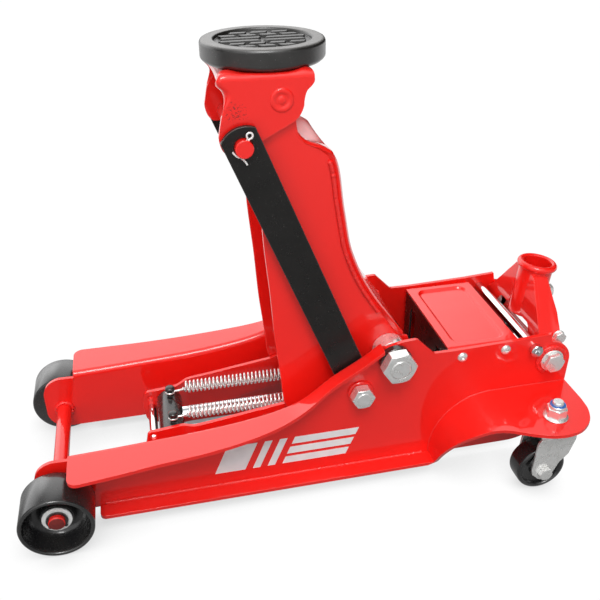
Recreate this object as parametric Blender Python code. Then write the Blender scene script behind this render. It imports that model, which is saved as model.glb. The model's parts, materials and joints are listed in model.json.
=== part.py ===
"""Hydraulic floor jack with its lift arm raised.

X runs along the jack towards the handle socket, Z = 0 is the floor and Y = 0 is the middle
plane; "left" is the -Y side. Lengths are millimetres and X counts from the front axle. MM
turns them into metres when a mesh is made, and main() then moves the whole jack so that the
origin lies on the floor under the middle of its length.
"""

import math

import bmesh
import bpy
from mathutils import Matrix, Vector

MM = 0.001
GAP = 0.3                     # clearance between neighbouring pieces
ROUND = 16                    # flats round a small shaft or bore
SIDES = (("left", -1), ("right", 1))
MIDDLE_X = 263.2              # middle of the jack's length, behind the front axle

# ---- driving dimensions -------------------------------------------------------
WEB_OUT = 72.7                # outer face of the side plates
SHEET = 4.0                   # side plate thickness
WEB_IN = WEB_OUT - SHEET
BOSS_OUT = 75.4               # outer face of the bosses round the link pivots

WHEEL_R = 36.0                # front wheels
WHEEL_OUT = 120.2             # their outer face
AXLE_R = 8.0

MAIN = (349.0, 147.0)         # lift arm pivot (x, z)
TIP = (240.5, 414.0)          # arm tip pivot in the saddle bracket
LINK_LOW = (314.0, 111.0)     # lower pivot of the parallel link bars
LINK_UP = (LINK_LOW[0] + TIP[0] - MAIN[0], LINK_LOW[1] + TIP[1] - MAIN[1])
MAIN_R = 10.75
PIN_R = 8.0

ARM_IN, ARM_OUT = 46.0, 50.0  # lift arm side plates
LUG_R = 80.0                  # ram lug pin's distance from the main pivot
LUG_ANGLE = math.radians(50.0)
LUG = (MAIN[0] - LUG_R * math.sin(LUG_ANGLE), MAIN[1] - LUG_R * math.cos(LUG_ANGLE))

RAM_Z = 56.0                  # axis of the ram and cylinder
CROSS_X = 120.0               # crosshead at full lift
CROSS_R = 14.0
RAM_R = 11.0
POST_X, POST_Y, POST_TOP = 122.0, 23.0, 80.5
SPRING_Z = 77.0
SPRING_END_X = 403.0

SADDLE_X, SADDLE_TOP, SADDLE_R = 235.0, 455.2, 55.2
SADDLE_LOW = 436.8
DECK_TOP = SADDLE_LOW - GAP   # saddle bracket's top

SOCKET = (529.0, 118.0)       # handle socket pivot
SOCKET_LEAN = math.radians(6.8)
SOCKET_R, TUBE_R, BORE_R = 22.0, 18.4, 15.5
SOCKET_TOP = 83.0             # socket mouth above its pivot, along its axis
YOKE_X = -13.2                # yoke's front face, ahead of the socket's axis

COVER_SCREWS = ((424.5, 137.0), (473.3, 138.8))
TIE_ROD, TIE_ROD_R = (507.3, 134.8), 5.8

CASTER = (509.0, 129.0)       # swivel axis (x, |y|)
CASTER_WHEEL = (497.5, 27.0)  # wheel centre (x, z)
CASTER_R, CASTER_HALF = 27.0, 11.5
FORK_IN, FORK_OUT = 13.2, 16.2
WING_TOP, WING_UNDER = 87.0, 83.0

# ---- mesh helpers -------------------------------------------------------------


def add_mesh(name, bm):
    """Make an object from a finished bmesh whose coordinates are millimetres."""
    bmesh.ops.recalc_face_normals(bm, faces=bm.faces)
    bmesh.ops.scale(bm, vec=(MM, MM, MM), verts=bm.verts)
    mesh = bpy.data.meshes.new(name)
    bm.to_mesh(mesh)
    bm.free()
    obj = bpy.data.objects.new(name, mesh)
    bpy.context.collection.objects.link(obj)
    return obj


def on_axis(axis, u, v, w):
    """Point with w along the named axis and (u, v) on the other two, in XYZ order."""
    return {"X": (w, u, v), "Y": (u, w, v), "Z": (u, v, w)}[axis]


def prism(name, outline, low, high, axis="Y"):
    """Closed outline extruded along an axis from low to high."""
    return loft(name, [[on_axis(axis, u, v, w) for u, v in outline] for w in (low, high)])


def loft(name, rings):
    """Solid skin through rings of equal length, capped at both ends."""
    bm = bmesh.new()
    made = [[bm.verts.new(p) for p in ring] for ring in rings]
    for a, b in zip(made, made[1:]):
        for i in range(len(a)):
            j = (i + 1) % len(a)
            bm.faces.new((a[i], a[j], b[j], b[i]))
    bm.faces.new(made[0])
    bm.faces.new(made[-1])
    return add_mesh(name, bm)


def turned(name, profile, centre, axis="Y", steps=ROUND):
    """Profile of (radius, distance along axis) turned round the axis through centre (u, v).

    A profile that starts and ends on the axis is a solid shaft, any other is a ring.
    """
    bm = bmesh.new()
    rings = []
    for r, w in profile:
        count = steps if r > 0 else 1
        ring = []
        for k in range(count):
            a = math.tau * k / steps
            u = centre[0] + r * math.cos(a)
            v = centre[1] + r * math.sin(a)
            ring.append(bm.verts.new(on_axis(axis, u, v, w)))
        rings.append(ring)
    pairs = list(zip(rings, rings[1:]))
    if profile[0][0] > 0:
        pairs.append((rings[-1], rings[0]))
    for a, b in pairs:
        for k in range(steps):
            n = (k + 1) % steps
            corners = [a[k % len(a)], a[n % len(a)], b[n % len(b)], b[k % len(b)]]
            unique = list(dict.fromkeys(corners))
            bm.faces.new(unique)
    obj = add_mesh(name, bm)
    obj.data.shade_smooth()
    obj.data.set_sharp_from_angle(angle=math.radians(35))
    return obj


def rod(name, r, centre, low, high, axis="Y", steps=ROUND):
    return turned(name, [(0, low), (r, low), (r, high), (0, high)], centre, axis, steps)


def ring(name, r_in, r_out, centre, low, high, axis="Y", steps=ROUND):
    profile = [(r_in, low), (r_out, low), (r_out, high), (r_in, high)]
    return turned(name, profile, centre, axis, steps)


def wire(name, points, r, sides=4):
    """Round wire along a smooth run of points."""
    bm = bmesh.new()
    rings = []
    side = Vector((0, 0, 1))
    for i, p in enumerate(points):
        p = Vector(p)
        ahead = Vector(points[min(i + 1, len(points) - 1)])
        behind = Vector(points[max(i - 1, 0)])
        along = (ahead - behind).normalized()
        side = (side - along * side.dot(along)).normalized()
        other = along.cross(side)
        turn = [math.tau * k / sides for k in range(sides)]
        spots = [p + r * (math.cos(a) * side + math.sin(a) * other) for a in turn]
        rings.append([bm.verts.new(s) for s in spots])
    for a, b in zip(rings, rings[1:]):
        for k in range(sides):
            n = (k + 1) % sides
            bm.faces.new((a[k], a[n], b[n], b[k]))
    bm.faces.new(rings[0])
    bm.faces.new(rings[-1])
    return add_mesh(name, bm)


def combine(obj, other, operation):
    """Boolean obj with other, keep the result in obj and remove other."""
    step = obj.modifiers.new(operation.title(), "BOOLEAN")
    step.operation = operation
    step.solver = "EXACT"
    step.object = other
    bpy.context.view_layer.update()
    graph = bpy.context.evaluated_depsgraph_get()
    mesh = bpy.data.meshes.new_from_object(obj.evaluated_get(graph))
    obj.modifiers.clear()
    obj.data = mesh
    bpy.data.objects.remove(other, do_unlink=True)
    return obj


def join(obj, *others):
    for other in others:
        combine(obj, other, "UNION")
    return obj


def drill(obj, r, centre, low, high, axis="Y", steps=ROUND):
    return combine(obj, rod("cutter", r, centre, low, high, axis, steps), "DIFFERENCE")


def span(side, a, b):
    """The low and high Y of a piece between |y| = a and b on one side."""
    return sorted((side * a, side * b))


def arc(centre, r, start, end, steps):
    """Points on an arc, angles in degrees."""
    out = []
    for k in range(steps + 1):
        a = math.radians(start + (end - start) * k / steps)
        out.append((centre[0] + r * math.cos(a), centre[1] + r * math.sin(a)))
    return out


def hexagon(centre, across, turn=0.0):
    r = across / math.sqrt(3)
    return arc(centre, r, turn, turn + 300, 5)


def offset_strip(points, near, far):
    """Outline of a strip that follows points, between two offsets to their left."""
    inner, outer = [], []
    for i, (x, z) in enumerate(points):
        ax, az = points[max(i - 1, 0)]
        bx, bz = points[min(i + 1, len(points) - 1)]
        length = math.hypot(bx - ax, bz - az)
        nx, nz = -(bz - az) / length, (bx - ax) / length
        inner.append((x + near * nx, z + near * nz))
        outer.append((x + far * nx, z + far * nz))
    return inner + outer[::-1]


def joggle(obj, origin, along, start, end, shift):
    """Slide the part of a plate beyond start..end (distances along a direction) in Y."""
    bm = bmesh.new()
    bm.from_mesh(obj.data)
    origin, along = Vector(origin) * MM, Vector(along).normalized()
    for d in (start, end):
        geom = bm.verts[:] + bm.edges[:] + bm.faces[:]
        bmesh.ops.bisect_plane(bm, geom=geom, plane_co=origin + along * d * MM, plane_no=along)
    for v in bm.verts:
        share = ((v.co - origin).dot(along) / MM - start) / (end - start)
        v.co.y += shift * MM * min(max(share, 0.0), 1.0)
    bm.to_mesh(obj.data)
    bm.free()
    return obj


# ---- outlines -----------------------------------------------------------------

TOP_EDGE = ((16, 84), (100, 88), (150, 91), (200, 97), (235, 105), (258, 115), (281, 134),
            (312, 153), (333, 168))


def web_outline():
    nose = arc((2, 56), 22, 90, 180, 6) + arc((2, 33), 22, 180, 270, 6)
    heel = arc((490, 72), 61, 270, 355, 6)
    tail = [(551, 107), (549, 121), (546, 131), (541, 139), (533, 146), (525, 149.5)]
    hump = [(488, 148.2), (414, 146), (393, 146.4), (375, 163.8), (370.5, 166.5), (354, 165),
            (340, 161.2)]
    top = [(x, z - 1.0) for x, z in TOP_EDGE[::-1]]
    return nose + heel + tail + hump + top + [(15, 78)]


def flange_width(x):
    """Outer |y| of the top flange at x."""
    spots = ((16, 106), (19, 113), (26, 116), (100, 110), (150, 108), (220, 100), (250, 92),
             (281, 88), (333, 88))
    return interpolate(spots, x)


def rail_width(share):
    """Outer |y| of the foot rail at a share of the way round its rising bend."""
    return interpolate(((0, 91), (0.35, 113), (0.6, 126), (0.83, 134), (1, 144)), share)


def interpolate(spots, x):
    for (xa, ya), (xb, yb) in zip(spots, spots[1:]):
        if x <= xb:
            return ya + (yb - ya) * max(0.0, (x - xa) / (xb - xa))
    return spots[-1][1]


# ---- chassis ------------------------------------------------------------------


def side_plate(name, side):
    web = prism(name, web_outline(), *span(side, WEB_IN, WEB_OUT))
    stations = sorted({x for x, _ in TOP_EDGE} | {19, 26})
    rings = []
    for x in stations:
        z = interpolate(TOP_EDGE, x)
        inner, outer = side * WEB_IN, side * flange_width(x)
        rings.append([(x, inner, z), (x, outer, z), (x, outer, z - SHEET), (x, inner, z - SHEET)])
    join(web, loft("flange", rings))
    join(web, rod("boss", 13.8, LINK_LOW, *span(side, WEB_IN + 1, BOSS_OUT)))
    low, high = span(side, WEB_IN - 5, WEB_OUT + 5)
    holes = [((0, 36), AXLE_R), (MAIN, MAIN_R), (LINK_LOW, 7.0), (SOCKET, 6.0),
             (COVER_SCREWS[0], 3.0), (COVER_SCREWS[1], 3.0), (TIE_ROD, 4.0)]
    for centre, r in holes:
        drill(web, r + GAP, centre, low, high)
    return web


def foot_rail(name, side):
    """Bottom flange that climbs behind the wheel recess and ends as the caster's wing."""
    inner = WEB_OUT + GAP
    outer_r, z = 67.0, 20.0
    stations = [(38, 14, 0, 1, 85), (46, 14, 0, 1, 91), (380, 14, 0, 1, 91)]
    for k in range(11):
        a = math.radians(185 - 9.5 * k)
        share = k / 10
        stations.append((463 + outer_r * math.cos(a), z + outer_r * math.sin(a),
                         math.cos(a), math.sin(a), rail_width(share)))
    for x, y in ((488, 156), (509, 158.5), (529, 153), (541, 142), (548, 127), (551, 107)):
        stations.append((x, WING_TOP, 0, 1, y))
    rings = []
    for x, zt, nx, nz, y in stations:
        xb, zb = x - SHEET * nx, zt - SHEET * nz
        near, far = side * inner, side * y
        rings.append([(x, near, zt), (x, far, zt), (xb, far, zb), (xb, near, zb)])
    rail = loft(name, rings)
    low, high = WING_UNDER - 5, WING_TOP + 5
    return drill(rail, 6.0 + GAP, (CASTER[0], side * CASTER[1]), low, high, "Z")


def front_axle(name):
    return rod(name, AXLE_R, (0, 36), -113, 113)


def main_shaft(name):
    half = [(0, 94.5), (MAIN_R, 94.5), (MAIN_R, WEB_IN - GAP), (17, WEB_IN - GAP), (17, 50.4),
            (MAIN_R, 50.4)]
    profile = [(r, -w) for r, w in half] + [(r, w) for r, w in half[::-1]]
    return turned(name, profile, MAIN)


def main_nut(name, side):
    """Hexagon nut with a round collar against the side plate."""
    nut = prism(name, hexagon(MAIN, 32), *span(side, 81, 94.2))
    join(nut, rod("collar", 16.5, MAIN, *span(side, WEB_OUT + GAP, 81.2)))
    return drill(nut, MAIN_R + GAP, MAIN, *span(side, 70, 97))


def headed_bolt(name, centre, shank_r, shank, across, head, axis="Y", turn=0.0):
    """Shank between two distances with a hexagon head or nut between two others."""
    body = rod(name, shank_r, centre, *sorted(shank), axis)
    return join(body, prism("head", hexagon(centre, across, turn), *sorted(head), axis))


def link_pivot_bolt(name, side):
    nut = (side * (BOSS_OUT + GAP), side * 87)
    bolt = headed_bolt(name, LINK_LOW, 7.0, (side * 58, side * 88.5), 22, nut)
    return join(bolt, rod("inner_head", 11, LINK_LOW, *span(side, 57.5, 62.2)))


def cover_plate(name):
    top, low = 145.0, 128.0
    half = WEB_IN - 1.7
    t = 3.0
    outline = [(-half, low), (-half, top), (half, top), (half, low), (half - t, low),
               (half - t, top - t), (-half + t, top - t), (-half + t, low)]
    cover = prism(name, outline, 411, 490, "X")
    for centre in COVER_SCREWS:
        drill(cover, 3.3, centre, -90, 90)
    return cover


def cover_screw(name, centre, side):
    profile = [(0, 60), (3, 60), (3, 73), (5.5, 73), (5.2, 75), (3.2, 76.3), (0, 76.7)]
    return turned(name, [(r, side * w) for r, w in profile], centre, steps=12)


def tie_rod_screw(name, side):
    profile = [(0, 60), (4, 60), (4, 73), (6.5, 73), (6.5, 79.5), (0, 79.5)]
    return turned(name, [(r, side * w) for r, w in profile], TIE_ROD, steps=12)


def rear_tie_rod(name):
    body = rod(name, TIE_ROD_R, TIE_ROD, -WEB_IN + GAP, WEB_IN - GAP)
    for _, side in SIDES:
        drill(body, 4.0 + GAP, TIE_ROD, *span(side, 59, 75))
    return body


def power_unit(name):
    body = prism(name, [(-34, 22), (34, 22), (40, 30), (40, 96), (30, 112), (-30, 112), (-40, 96),
                        (-40, 30)], 415, 490, "X")
    join(body, prism("spring_lug", [(404, 66), (416, 66), (416, 112), (404, 84)], -32, 32))
    drill(body, 8.0 + GAP, PUMP, 476 - PLUNGER_TRAVEL, 495, "X")
    return drill(body, 5.0 + GAP, (0, 118), 480, 495, "X")


PUMP = (-20.0, 98.0)          # pump plunger axis (y, z)
PLUNGER_TRAVEL = 20.0


def ram_cylinder(name):
    profile = [(0, 392), (20, 392), (20, 262), (RAM_R + GAP, 262), (RAM_R + GAP, 250), (24, 250),
               (24, 403), (0, 403)]
    return turned(name, profile, (0, RAM_Z), "X", 20)


def ram_rod(name):
    profile = [(0, CROSS_X + CROSS_R + GAP), (RAM_R, CROSS_X + CROSS_R + GAP), (RAM_R, 263.0),
               (19.5, 263.0), (19.5, 275.0), (0, 275.0)]
    return turned(name, profile, (0, RAM_Z), "X")


def crosshead(name):
    half = [(0, 39), (8, 39), (8, 33), (CROSS_R, 33)]
    profile = [(r, -w) for r, w in half] + [(r, w) for r, w in half[::-1]]
    body = turned(name, profile, (CROSS_X, RAM_Z))
    for _, side in SIDES:
        post = [(0, 60), (3.6, 60), (3.6, 74.5), (5.2, 75.5), (5.2, 79), (0, POST_TOP)]
        join(body, turned("post", post, (POST_X, side * POST_Y), "Z", 12))
    return body


def front_tie_pin(name):
    return rod(name, 4.75, (100, 48), -39.5, 39.5, steps=16)


def pull_link(name, side):
    """Plate from the crosshead back to the arm's ram lug, joggled out behind the crosshead."""
    rear = arc((LUG[0] + 6, LUG[1] - 10.7), 26, -60, 90, 6)
    outline = [(95, 25), (150, 30), (240, 48)] + rear + [(241, 88), (204, 83), (170, 78), (145, 75),
                                                         (128, 72), (100, 69), (92, 66), (89, 60), (93, 34)]
    plate = prism(name, outline, *span(side, 33.5, 37.5))
    joggle(plate, (128, 0, 0), (1, 0, 0), 0, 17, side * 7.5)
    slot = [(LUG[0] - 3.8, LUG[1]), (LUG[0] + 1.3, LUG[1])]
    low_z, high_z = slot[0][1] - 21.5, slot[0][1]
    r = PIN_R + 0.8
    hole = (arc((slot[1][0], high_z), r, 0, 90, 4) + arc((slot[0][0], high_z), r, 90, 180, 4)
            + arc((slot[0][0], low_z), r, 180, 270, 4) + arc((slot[1][0], low_z), r, 270, 360, 4))
    combine(plate, prism("cutter", hole, *span(side, 36, 50)), "DIFFERENCE")
    drill(plate, 8.0 + GAP, (CROSS_X, RAM_Z), *span(side, 30, 42))
    return drill(plate, 4.75 + GAP, (100, 48), *span(side, 30, 42), steps=16)


def return_spring(name, side):
    """Extension spring from a crosshead post to the power unit's lug, hook eye at each end."""
    y, coil_r, turns = side * POST_Y, 5.6, 12
    start, end = POST_X + 14, SPRING_END_X - 10
    points = [(POST_X + 6.2, y, SPRING_Z - 3.0), (POST_X + 9, y, SPRING_Z)]
    for k in range(turns * 6 + 1):
        a = math.tau * k / 6
        x = start + (end - start) * k / (turns * 6)
        points.append((x, y + coil_r * math.sin(a), SPRING_Z + coil_r * math.cos(a)))
    points += [(end + 5, y, SPRING_Z), (SPRING_END_X, y, SPRING_Z)]
    return wire(name, points, 1.0)


# ---- wheels and casters -------------------------------------------------------


def front_wheel(name, side):
    profile = [(AXLE_R + GAP, 78.2), (34.5, 78.2), (WHEEL_R, 79.7), (WHEEL_R, 118.7), (34.5, WHEEL_OUT),
               (32.3, WHEEL_OUT), (31.3, 94), (18, 92), (16.5, 104.7), (AXLE_R + GAP, 104.7)]
    return turned(name, [(r, side * w) for r, w in profile], (0, 36), steps=28)


def axle_washer(name, side):
    return ring(name, AXLE_R + 0.6, 14.5, (0, 36), *span(side, 105.1, 107.1))


def axle_clip(name, side):
    outline = arc((0, 36), 11, -60, 240, 14) + arc((0, 36), AXLE_R + GAP, 240, -60, 14)
    return prism(name, outline, *span(side, 107.5, 108.9))


def caster_fork(name, side):
    x, y = CASTER[0], side * CASTER[1]
    race = [(6.4, 71.8), (21, 71.8), (21, 75), (19.5, 78), (19.5, WING_UNDER - GAP),
            (6.4, WING_UNDER - GAP)]
    body = turned(name, race, (x, y), "Z")
    wx, wz = CASTER_WHEEL
    leg = [(x - 22, 75), (x - 24, 66), (wx - 14, wz + 5)] + arc((wx, wz), 9.5, 200, 350, 6)
    leg += [(wx + 16, wz + 11), (x + 13, 48), (x + 19, 70), (x + 19, 75)]
    for d in (-1, 1):
        near, far = sorted((y + d * FORK_IN, y + d * FORK_OUT))
        plate = prism("leg", leg, near, far)
        drill(plate, 4.0 + GAP, CASTER_WHEEL, near - 1, far + 1, steps=16)
        join(body, plate)
    return body


def caster_wheel(name, side):
    y = side * CASTER[1]
    half = [(CASTER_R, CASTER_HALF - 2.5), (CASTER_R - 3, CASTER_HALF), (CASTER_R - 5, CASTER_HALF - 1.5),
            (12, CASTER_HALF - 1.5), (9, CASTER_HALF + 0.7), (4.3, CASTER_HALF + 0.7)]
    profile = [(r, -w) for r, w in half[::-1]] + half
    return turned(name, [(r, y + w) for r, w in profile], CASTER_WHEEL, steps=20)


def caster_axle(name, side):
    y = side * CASTER[1]
    outer = (y + side * 16.4, y + side * 21)
    inner = (y - side * 16.4, y - side * 21)
    body = headed_bolt(name, CASTER_WHEEL, 4.0, (inner[1], outer[1]), 12, outer)
    return join(body, prism("nut", hexagon(CASTER_WHEEL, 12), *sorted(inner)))


def caster_kingpin(name, side):
    centre = (CASTER[0], side * CASTER[1])
    profile = [(0, 66), (9, 66), (9, 71.5), (6, 71.5), (6, WING_TOP + GAP), (13, WING_TOP + GAP),
               (13, WING_TOP + 2.2), (6, WING_TOP + 2.2), (6, 107), (0, 107)]
    body = turned(name, profile, centre, "Z")
    return join(body, prism("nut", hexagon(centre, 19), WING_TOP + 1.5, 101, "Z"))


# ---- lift arm -----------------------------------------------------------------

ARM_REAR = ((282, 361), (286, 354), (289, 340), (292, 317), (295, 296), (300, 271), (306, 251),
            (314, 230), (329, 206), (345, 182), (361, 160))


def arm_plate(name, side):
    tip = arc(TIP, 15, 190, 60, 7)
    back = [(254, 394), (256, 381), (262, 374), (274, 368)] + list(ARM_REAR)
    hub = arc(MAIN, 24, 25, -70, 7)
    lug = arc(LUG, 15, -50, -110, 3)
    front = [(247, 82), (238, 92), (236, 106), (230, 172), (226, 238), (221, 283), (221, 330),
             (222, 378)]
    plate = prism(name, tip + back + hub + lug + front, *span(side, ARM_IN, ARM_OUT))
    join(plate, rod("ram_pin", PIN_R, LUG, *span(side, 38, ARM_IN + 2)))
    low, high = span(side, ARM_IN - 3, ARM_OUT + 3)
    drill(plate, MAIN_R + GAP, MAIN, low, high)
    return drill(plate, PIN_R + GAP, TIP, low, high)


def arm_top_plate(name):
    outline = offset_strip(ARM_REAR, GAP, 5.0)
    return prism(name, outline, -52, 52)


def arm_hub(name):
    return ring(name, MAIN_R + GAP, 17, MAIN, -ARM_IN + GAP, ARM_IN - GAP)


# ---- saddle and links ---------------------------------------------------------

EAR_IN, EAR_OUT = 51.0, 55.0
COTTER_Y = 64.5
BAR_HALF = 16.5               # half the width of a link bar


def saddle_bracket(name):
    ear = ([(188, DECK_TOP), (186.1, 430), (190.5, 423), (192.4, 418.5), (191.4, 411), (186, 386)]
           + arc(LINK_UP, 14, 165, 295, 6)
           + [(223, 381), (253, 397), (259, 404), (260.5, 416), (265.4, 423.7), (268.7, 431)]
           + [(267, DECK_TOP)])
    deck = [(190, -53), (205, -EAR_OUT), (250, -EAR_OUT), (266, -52), (268, 0), (266, 52),
            (250, EAR_OUT), (205, EAR_OUT), (190, 53), (188, 0)]
    body = prism(name, deck, DECK_TOP - SHEET, DECK_TOP, "Z")
    for _, side in SIDES:
        plate = prism("ear", ear, *span(side, EAR_IN, EAR_OUT))
        join(body, plate)
    for centre in (TIP, LINK_UP):
        drill(body, PIN_R + GAP, centre, -70, 70)
    return drill(body, 13.5, (SADDLE_X, 0), DECK_TOP - 10, DECK_TOP + 5, "Z")


def saddle_pin(name):
    half = [(0, 56.2), (10.5, 56.2), (10.5, EAR_OUT + GAP), (PIN_R, EAR_OUT + GAP)]
    profile = [(r, -w) for r, w in half] + [(r, w) for r, w in half[::-1]]
    return turned(name, profile, TIP)


def link_pin(name):
    pin = rod(name, PIN_R, LINK_UP, -68, 68)
    for _, side in SIDES:
        drill(pin, 1.5 + GAP, (LINK_UP[0], side * COTTER_Y), LINK_UP[1] - 9, LINK_UP[1] + 9, "Z", 8)
    return pin


def cotter_pin(name, side):
    return rod(name, 1.5, (LINK_UP[0], side * COTTER_Y), LINK_UP[1] - 12, LINK_UP[1] + 12, "Z", 8)


def saddle(name):
    profile = [(0, 427), (13, 427), (13, SADDLE_LOW), (SADDLE_R - 3.2, SADDLE_LOW),
               (SADDLE_R, SADDLE_LOW + 3.2), (SADDLE_R, SADDLE_TOP - 2.8),
               (SADDLE_R - 1, SADDLE_TOP), (43, SADDLE_TOP), (42.5, SADDLE_TOP - 2.5),
               (0, SADDLE_TOP - 2.5)]
    return turned(name, profile, (SADDLE_X, 0), "Z", 32)


def link_bar(name, side):
    """Flat bar on both link pivots, set out towards the side plate at its lower end."""
    dx, dz = LINK_LOW[0] - LINK_UP[0], LINK_LOW[1] - LINK_UP[1]
    length = math.hypot(dx, dz)
    heading = math.degrees(math.atan2(dz, dx))
    end_r = 22.0
    half = math.degrees(math.asin(BAR_HALF / end_r))
    back = end_r - 17.5
    crown = (LINK_UP[0] + back * dx / length, LINK_UP[1] + back * dz / length)
    outline = (arc(crown, end_r, heading + 180 - half, heading + 180 + half, 8)
               + arc(LINK_LOW, BAR_HALF, heading - 90, heading + 90, 10))
    bar = prism(name, outline, *span(side, 56.5, 61.5))
    joggle(bar, (LINK_UP[0], 0, LINK_UP[1]), (dx, 0, dz), length - 60, length - 30, side * 6.2)
    low, high = span(side, 50, 75)
    drill(bar, PIN_R + 0.6, LINK_UP, low, high)
    return drill(bar, 7.0 + 0.6, LINK_LOW, low, high)


# ---- handle socket and pump ---------------------------------------------------


def handle_socket(name):
    """Leaning tube on a yoke: a front web, two ears and the cross bar that pushes the pump."""
    profile = [(0, 19), (TUBE_R, 19), (TUBE_R, 70), (SOCKET_R, 75), (SOCKET_R, SOCKET_TOP),
               (0, SOCKET_TOP)]
    body = turned(name, profile, (0, 0), "Z", 20)
    half = [(16, 26), (16, 22), (34, 22), (37, 14), (56, -2), (63, -2), (63, 20), (58.9, 22), (19.5, 72)]
    web = half + [(-y, z) for y, z in half[::-1]]
    join(body, prism("web", web, YOKE_X, YOKE_X + SHEET, "X"))
    for _, side in SIDES:
        slope = [(side * y, z) for y, z in ((14, 72), (19.5, 72), (61, 20), (56, 20))]
        join(body, prism("flange", slope, YOKE_X + 1, 4, "X"))
    drill(body, BORE_R, (0, 0), 25, SOCKET_TOP + 5, "Z", 20)
    for _, side in SIDES:
        ear = [(YOKE_X, 0), (YOKE_X, 23), (10, 24)] + arc((0, 0), 14, 30, -90, 6) + [(-9, -12)]
        join(body, prism("ear", ear, *span(side, 60, 65.5)))
    tilt_back(body)
    for _, side in SIDES:
        pusher = prism("pusher", arm_to_roller(), *span(side, 60, 65.5))
        pusher.matrix_world = Matrix.Translation((SOCKET[0] * MM, 0, SOCKET[1] * MM))
        join(body, pusher)
    bar = rod("bar", ROLLER_R, ROLLER, -62, 62, steps=12)
    bar.matrix_world = Matrix.Translation((SOCKET[0] * MM, 0, SOCKET[1] * MM))
    join(body, bar)
    for _, side in SIDES:
        drill(body, 6.0 + GAP, SOCKET, *span(side, 55, 70))
    return body


ROLLER_R = 5.0
ROLLER = (12.9, -15.3)        # pump push bar from the socket pivot (x, z)


def arm_to_roller():
    return arc(ROLLER, 8.0, -140, 40, 6) + [(10, 6), (-10, -6)]


def tilt_back(obj):
    """Move a piece made about the origin to the socket pivot, leaning to the rear."""
    turn = Matrix.Rotation(SOCKET_LEAN, 4, "Y")
    obj.data.transform(turn)
    obj.matrix_world = Matrix.Translation((SOCKET[0] * MM, 0, SOCKET[1] * MM))


def socket_bolt(name, side):
    body = headed_bolt(name, SOCKET, 6.0, (side * 58, side * 83.5), 20, (side * 75, side * 82))
    return join(body, rod("washer", 13, SOCKET, *span(side, 73, 75.5)))


def clamp_screw(name):
    profile = [(0, 20.5), (3.5, 20.5), (3.5, 22), (6.5, 22), (6.5, 27.5), (0, 27.5)]
    screw = turned(name, profile, (0, 45), "X", 16)
    tilt_back(screw)
    return screw


def pump_plunger(name):
    head = SOCKET[0] + ROLLER[0] - ROLLER_R - 1.2
    profile = [(0, 477), (8, 477), (8, head - 4), (11, head - 4), (11, head), (0, head)]
    return turned(name, profile, PUMP, "X")


def release_valve(name):
    """Valve spindle with the lower half of the universal joint on its end."""
    profile = [(0, 482), (5, 482), (5, 514), (8.5, 516), (8.5, 528), (0, 528)]
    return turned(name, profile, (0, 118), "X")


# ---- materials ----------------------------------------------------------------

FINISHES = {
    "red_paint": ((0.72, 0.012, 0.008), 0.28, 0.0),
    "black_paint": ((0.012, 0.012, 0.013), 0.35, 0.0),
    "black_steel": ((0.02, 0.02, 0.022), 0.45, 0.4),
    "zinc": ((0.62, 0.62, 0.6), 0.32, 1.0),
    "chrome": ((0.75, 0.75, 0.76), 0.12, 1.0),
    "rubber": ((0.014, 0.014, 0.014), 0.75, 0.0),
}


def paint(obj, finish):
    material = bpy.data.materials.get(finish)
    if material is None:
        colour, roughness, metallic = FINISHES[finish]
        material = bpy.data.materials.new(finish)
        material.use_nodes = True
        shader = material.node_tree.nodes["Principled BSDF"]
        shader.inputs["Base Color"].default_value = (*colour, 1.0)
        shader.inputs["Roughness"].default_value = roughness
        shader.inputs["Metallic"].default_value = metallic
    obj.data.materials.clear()
    obj.data.materials.append(material)


def group(label, point, objects):
    """Parent objects to an empty on their joint's axis, at point (x, y, z)."""
    empty = bpy.data.objects.new(label, None)
    empty.location = Vector(point) * MM
    bpy.context.collection.objects.link(empty)
    bpy.context.view_layer.update()
    for obj in objects:
        world = obj.matrix_world.copy()
        obj.parent = empty
        obj.matrix_parent_inverse = Matrix.Identity(4)
        obj.matrix_basis = empty.matrix_world.inverted() @ world
    return empty


# ---- assembly -----------------------------------------------------------------


def build_chassis():
    for label, side in SIDES:
        paint(side_plate(f"side_plate_{label}", side), "red_paint")
        paint(foot_rail(f"foot_rail_{label}", side), "red_paint")
        paint(main_nut(f"main_pivot_nut_{label}", side), "zinc")
        paint(link_pivot_bolt(f"link_pivot_bolt_{label}", side), "zinc")
        paint(tie_rod_screw(f"tie_rod_screw_{label}", side), "zinc")
        for place, centre in zip(("front", "rear"), COVER_SCREWS):
            paint(cover_screw(f"cover_screw_{place}_{label}", centre, side), "zinc")
        paint(axle_washer(f"axle_washer_{label}", side), "zinc")
        paint(axle_clip(f"axle_clip_{label}", side), "black_steel")
        paint(socket_bolt(f"socket_bolt_{label}", side), "zinc")
        paint(caster_kingpin(f"caster_kingpin_{label}", side), "zinc")
        paint(return_spring(f"return_spring_{label}", side), "zinc")
    paint(front_axle("front_axle"), "red_paint")
    paint(main_shaft("main_pivot_shaft"), "zinc")
    paint(rear_tie_rod("rear_tie_rod"), "chrome")
    paint(cover_plate("cover_plate"), "red_paint")
    paint(power_unit("power_unit"), "black_paint")
    paint(ram_cylinder("ram_cylinder"), "black_paint")


def build_wheels():
    for label, side in SIDES:
        wheel = paint_all([front_wheel(f"front_wheel_{label}", side)], "black_paint")
        group(f"front_wheel_axis_{label}", (0, side * 99, 36), wheel)
        x, y = CASTER[0], side * CASTER[1]
        fork = paint_all([caster_fork(f"caster_fork_{label}", side),
                          caster_axle(f"caster_axle_{label}", side)], "zinc")
        group(f"caster_swivel_axis_{label}", (x, y, 78), fork)
        wheel = paint_all([caster_wheel(f"caster_wheel_{label}", side)], "black_paint")
        group(f"caster_wheel_axis_{label}", (CASTER_WHEEL[0], y, CASTER_WHEEL[1]), wheel)


def paint_all(objects, finish):
    for obj in objects:
        paint(obj, finish)
    return objects


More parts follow.
